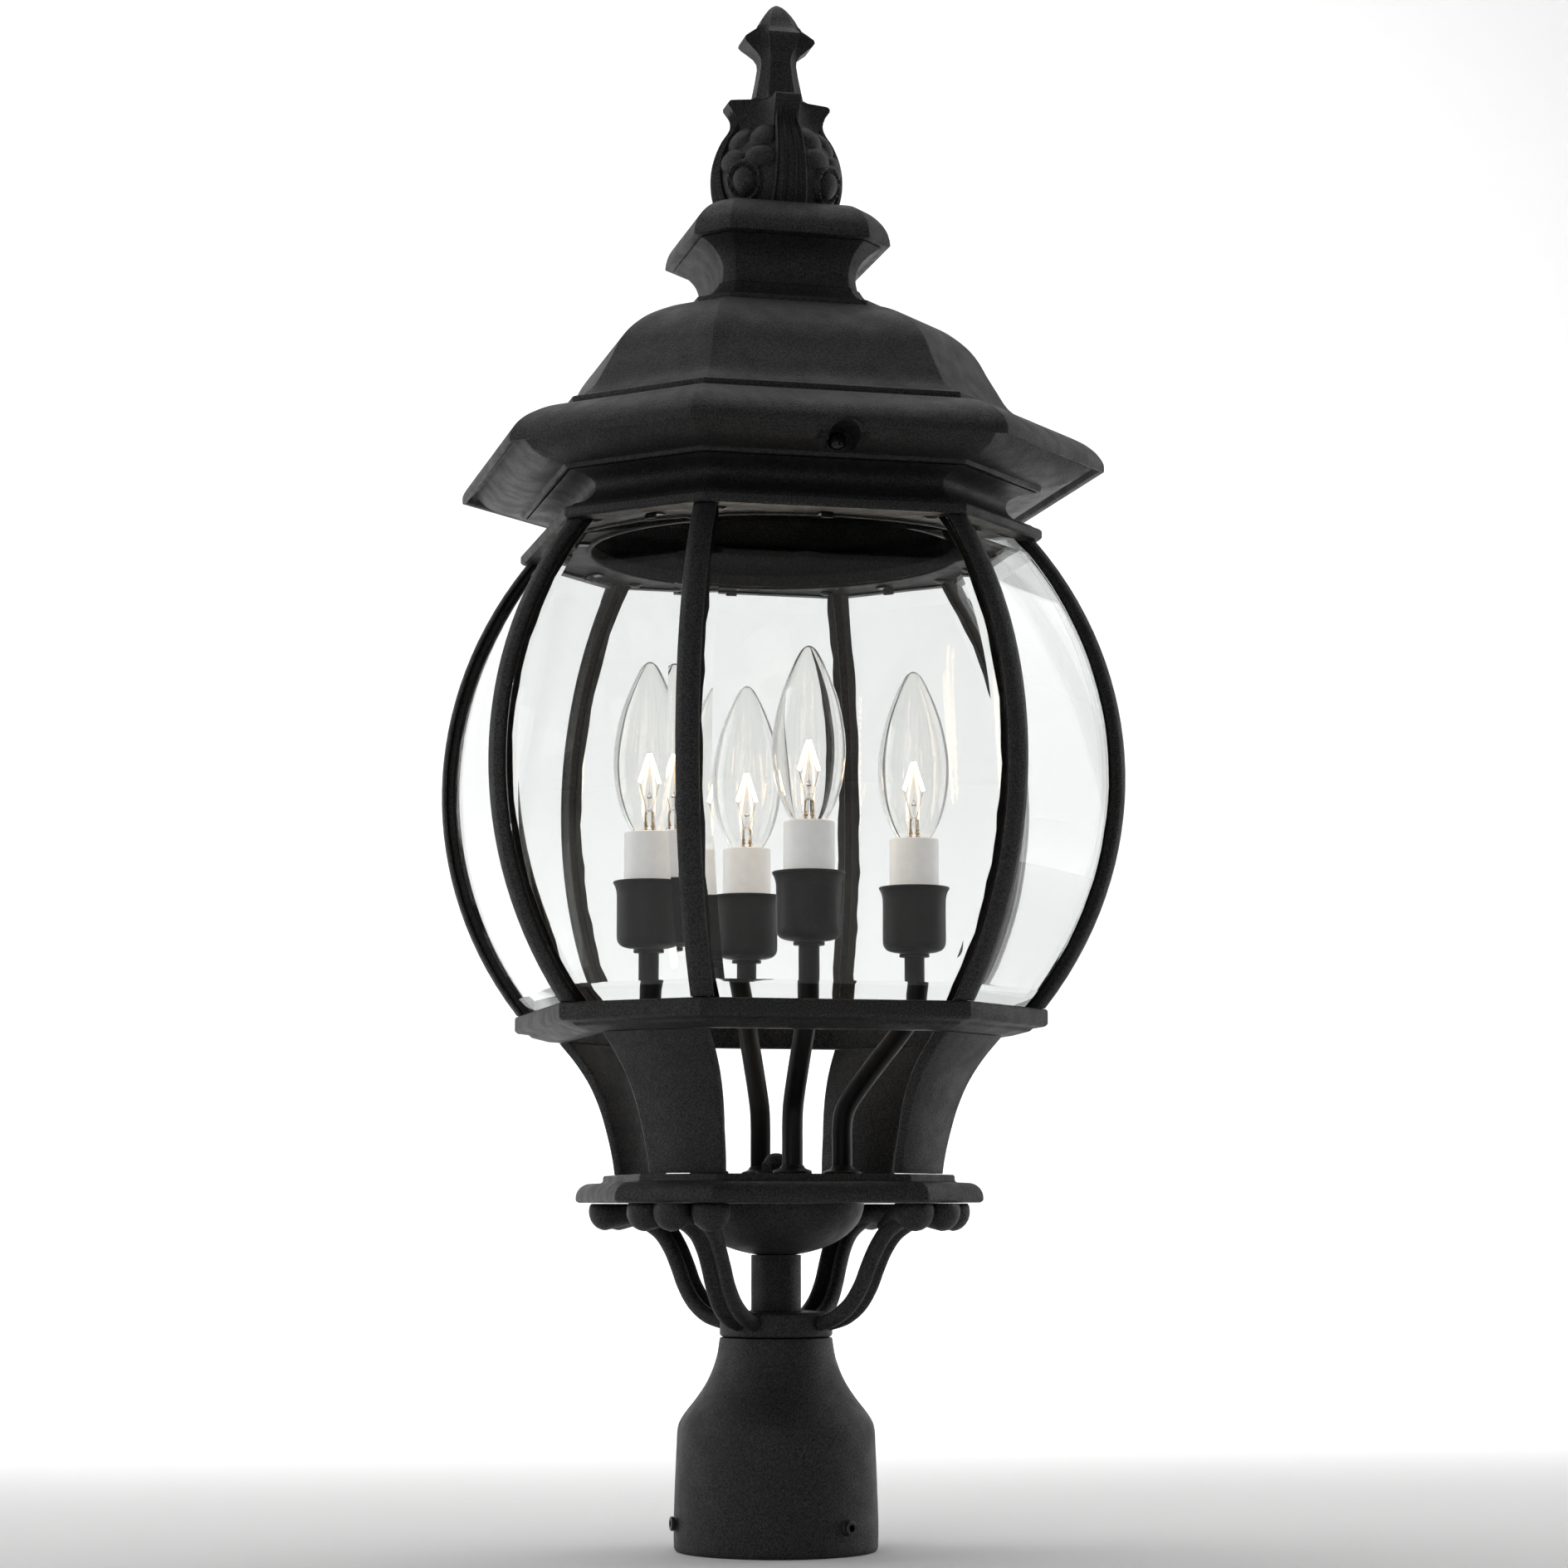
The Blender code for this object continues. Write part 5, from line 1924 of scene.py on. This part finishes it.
    def bulb(self) -> None:
        """Torpedo bulb: thin envelope, stem, lead wires, wound filaments and screw base."""
        low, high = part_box(f"bulb_{self.place}")
        base, tip = low[2], high[2]
        body = f"bulb_{self.place}_body"
        height = tip - base
        outer = [
            (0.0057, 0.0255), (0.0061, 0.0264), (0.0069, 0.0274), (0.0091, 0.031), (0.0109, 0.0348),
            (0.013, 0.0412), (0.0143, 0.0482), (0.0148, 0.0552), (0.0145, 0.0622), (0.0134, 0.0692),
            (0.0118, 0.0762), (0.0094, 0.0832), (0.0066, 0.0899), (0.0048, 0.0935), (0.0031, 0.0962),
            (0.0014, 0.0976), (0.0003, height),
        ]
        skin = curve_through(outer, 5)
        shell = [(p.x, base + p.y) for p in skin]
        lining = []
        for p in reversed(skin):
            lining.append((max(p.x - self.envelope, 0.0002), base + min(p.y, height - 0.0008)))
        solid = Solid()
        solid.turned(shell + lining[1:], closed=True, sides=56)
        self.cap_pole(solid)
        self.set("bulb_envelope", solid, BULB_GLASS, body, Slot.BULB, [f"bulb_{self.place}"], 50)
        stem = trace(
            (0.0003, 0.024),
            [(0.005, 0.0245)],
            [(0.0044, 0.0257), (0.0032, 0.0268), (0.0027, 0.0285), (0.0023, 0.0315), (0.0021, 0.0358)],
            [(0.0008, 0.0364), (0.0006, 0.041), (0.0012, 0.0424), (0.0012, 0.0432), (0.0003, 0.0438)],
            closed=False,
            fillet=0.0003,
        )
        mount = Solid().turned([(r, base + z) for r, z in stem], closed=False, sides=32)
        self.set("bulb_stem", mount, BULB_GLASS, body, Slot.BULB)
        self.filament(base, body)
        self.screw_base(base, body)

    def cap_pole(self, solid: Solid) -> None:
        """Merge the tiny rings at the envelope's tip."""
        near = [vertex for vertex in solid.work.verts if hypot(vertex.co.x, vertex.co.y) < 0.00025]
        bmesh.ops.remove_doubles(solid.work, verts=near, dist=0.0006)

    def filament(self, base: float, body: str) -> None:
        """Two lead wires, and a coiled filament on each of them.

        Args:
            base: Height of the bulb's lowest point.
            body: The body that the bulb rides on.
        """
        leads = Solid()
        for side in (-1, 1):
            points = [(side * 0.0009, 0, base + 0.0262), (side * 0.001, 0, base + 0.034)]
            points += [(side * 0.0014, 0, base + 0.0372), (side * 0.0042, 0, base + 0.0482)]
            leads.tube(curve_through(points, 5), 0.00016, 8)
            for rise, size in ((0.0284, 0.0005), (0.0298, 0.0007), (0.0311, 0.0005), (0.0352, 0.0004)):
                leads.ball(Vector((side * 0.001, 0, base + rise)), size)
        support = [(0, 0, base + 0.043), (0.0003, 0.0005, base + 0.052), (0, 0, base + 0.0603)]
        leads.tube(curve_through(support, 5), 0.00012, 8)
        self.set("bulb_leads", leads, BRASS, body, Slot.STEEL)
        seed = Solid().turned([(0.001, 0), (0.001, 0.001)], closed=False, sides=6).mesh("seed")
        sizes = {"Turns": 16.0, "Winding_Radius": 0.0006, "Length": 0.0125, "Wire_Radius": 0.00017}
        solid = Solid()
        for side in (-1, 1):
            coil = self.shop.grow("coil", seed, self.shop.coil, GLOW, **sizes)
            lean = Matrix.Rotation(side * radians(-18), 4, "Y")
            coil.transform(Matrix.Translation((side * 0.0042, 0, base + 0.0478)) @ lean)
            solid.work.from_mesh(coil)
        self.set("bulb_filament", solid, GLOW, body, Slot.STEEL, crease=70)

    def screw_base(self, base: float, body: str) -> None:
        """Rolled brass shell with its thread and centre contact.

        Args:
            base: Height of the bulb's lowest point.
            body: The body that the bulb rides on.
        """
        shell = trace(
            (0.0006, 0), [(0.0024, 0)], [(0.003, 0.0012)], [(0.0044, 0.0026)], [(0.0052, 0.0042)],
            [(0.0052, 0.0185)], [(0.0057, 0.0196)], [(0.0057, 0.0268)], [(0.0052, 0.0272)],
            [(0.0006, 0.0272)], closed=False, fillet=0.0003,
        )
        solid = Solid().turned([(r, base + z) for r, z in shell], closed=False, sides=40)
        seed = Solid().turned([(0.001, 0), (0.001, 0.001)], closed=False, sides=6).mesh("seed")
        thread = self.shop.grow(
            "thread", seed, self.shop.coil, BRASS, Turns=5.0, Winding_Radius=0.0051, Length=0.0125,
            Wire_Radius=0.00062,
        )
        thread.transform(Matrix.Translation((0, 0, base + 0.0052)))
        solid.work.from_mesh(thread)
        self.set("bulb_base", solid, BRASS, body, Slot.STEEL)


# ------------------------------------------------------------------ studio


@dataclass
class Studio:
    """Pale floor that sweeps up behind, soft boxes on both sides, and the camera."""

    lens: float = 80.33
    distance: float = 1.44135
    azimuth: float = -13.517
    height: float = 0.13461
    pitch: float = 7.0206
    yaw: float = -0.129
    surroundings: float = 0.24

    def build(self) -> None:
        """Set the stage, the lights and the camera."""
        self.sweep()
        self.world()
        self.lights()
        self.camera()

    def sweep(self) -> None:
        """Floor and backdrop in one curved sheet."""
        line = [(-6.0, 0.0), (1.6, 0.0)]
        line += [(1.6 + 1.2 * sin(radians(a)), 1.2 - 1.2 * cos(radians(a))) for a in range(6, 91, 6)]
        line.append((2.8, 7.0))
        work = bmesh.new()
        rows = [[work.verts.new((x, along, up)) for along, up in line] for x in (-7.0, 7.0)]
        for i in range(len(line) - 1):
            work.faces.new((rows[0][i], rows[1][i], rows[1][i + 1], rows[0][i + 1]))
        mesh = bpy.data.meshes.new("sweep")
        for face in work.faces:
            face.smooth = True
        work.to_mesh(mesh)
        work.free()
        sweep = bpy.data.objects.new("sweep", mesh)
        bpy.context.scene.collection.objects.link(sweep)
        bench = ShaderBench("pale_sweep")
        bench.set(Base_Color=(0.9, 0.9, 0.9, 1), Roughness=0.9, Specular_IOR_Level=0.1)
        mesh.materials.append(bench.material)

    def world(self) -> None:
        """Even, dim surroundings."""
        world = bpy.data.worlds.new("studio")
        world.use_nodes = True
        background = world.node_tree.nodes["Background"]
        background.inputs["Color"].default_value = (1.0, 1.0, 1.0, 1)
        background.inputs["Strength"].default_value = self.surroundings
        bpy.context.scene.world = world

    def lights(self) -> None:
        """Soft boxes left, right and overhead, and two that wash the backdrop and the floor."""
        # name, place, target, size, spread in degrees, watts
        boxes = (
            ("left_box", (-1.55, 0.75, 0.75), (0, 0, 0.33), (1.2, 1.9), 180, 10.5),
            ("right_box", (1.6, 0.35, 0.8), (0, 0, 0.35), (1.1, 1.8), 180, 9.0),
            ("left_fill", (-1.7, -2.0, 1.0), (0, 0, 0.35), (1.2, 1.6), 90, 2.2),
            ("top_box", (0.0, 0.5, 2.0), (0, 0, 0.5), (1.6, 1.2), 180, 9.0),
            ("backdrop_wash", (0.6, 0.5, 2.0), (0.7, 2.6, 0.7), (3.0, 0.8), 130, 37.0),
            ("floor_wash", (0.4, 1.3, 1.9), (0.4, 1.5, 0), (2.4, 0.8), 80, 9.0),
        )
        for name, spot, target, size, spread, power in boxes:
            light = bpy.data.lights.new(name, "AREA")
            light.shape = "RECTANGLE"
            light.size, light.size_y = size
            light.spread = radians(spread)
            light.energy = power
            lamp = bpy.data.objects.new(name, light)
            lamp.location = spot
            lamp.rotation_euler = (Vector(target) - Vector(spot)).to_track_quat("-Z", "Y").to_euler()
            bpy.context.scene.collection.objects.link(lamp)

    def camera(self) -> None:
        """Camera low in front, a little to the left, tilted up."""
        data = bpy.data.cameras.new("camera")
        data.lens = self.lens
        data.sensor_width = 36.0
        camera = bpy.data.objects.new("camera", data)
        angle = radians(self.azimuth)
        camera.location = (self.distance * sin(angle), -self.distance * cos(angle), self.height)
        camera.rotation_euler = (radians(90 + self.pitch), 0, radians(self.azimuth + self.yaw))
        bpy.context.scene.collection.objects.link(camera)
        scene = bpy.context.scene
        scene.camera = camera
        scene.view_settings.view_transform = "Standard"


def main() -> None:
    """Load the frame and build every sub-assembly."""
    logging.basicConfig(level=logging.INFO, format="%(message)s")
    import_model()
    shop = Workshop()
    PostFitting(shop).build()
    ScrollBrackets(shop).build()
    Cradle(shop).build()
    Cage(shop).build()
    Roof(shop).build()
    Finial(shop).build()
    for place in ("front", "right", "rear", "left"):
        CandleLamp(shop, place).build()
    Studio().build()


if __name__ == "__main__":
    main()
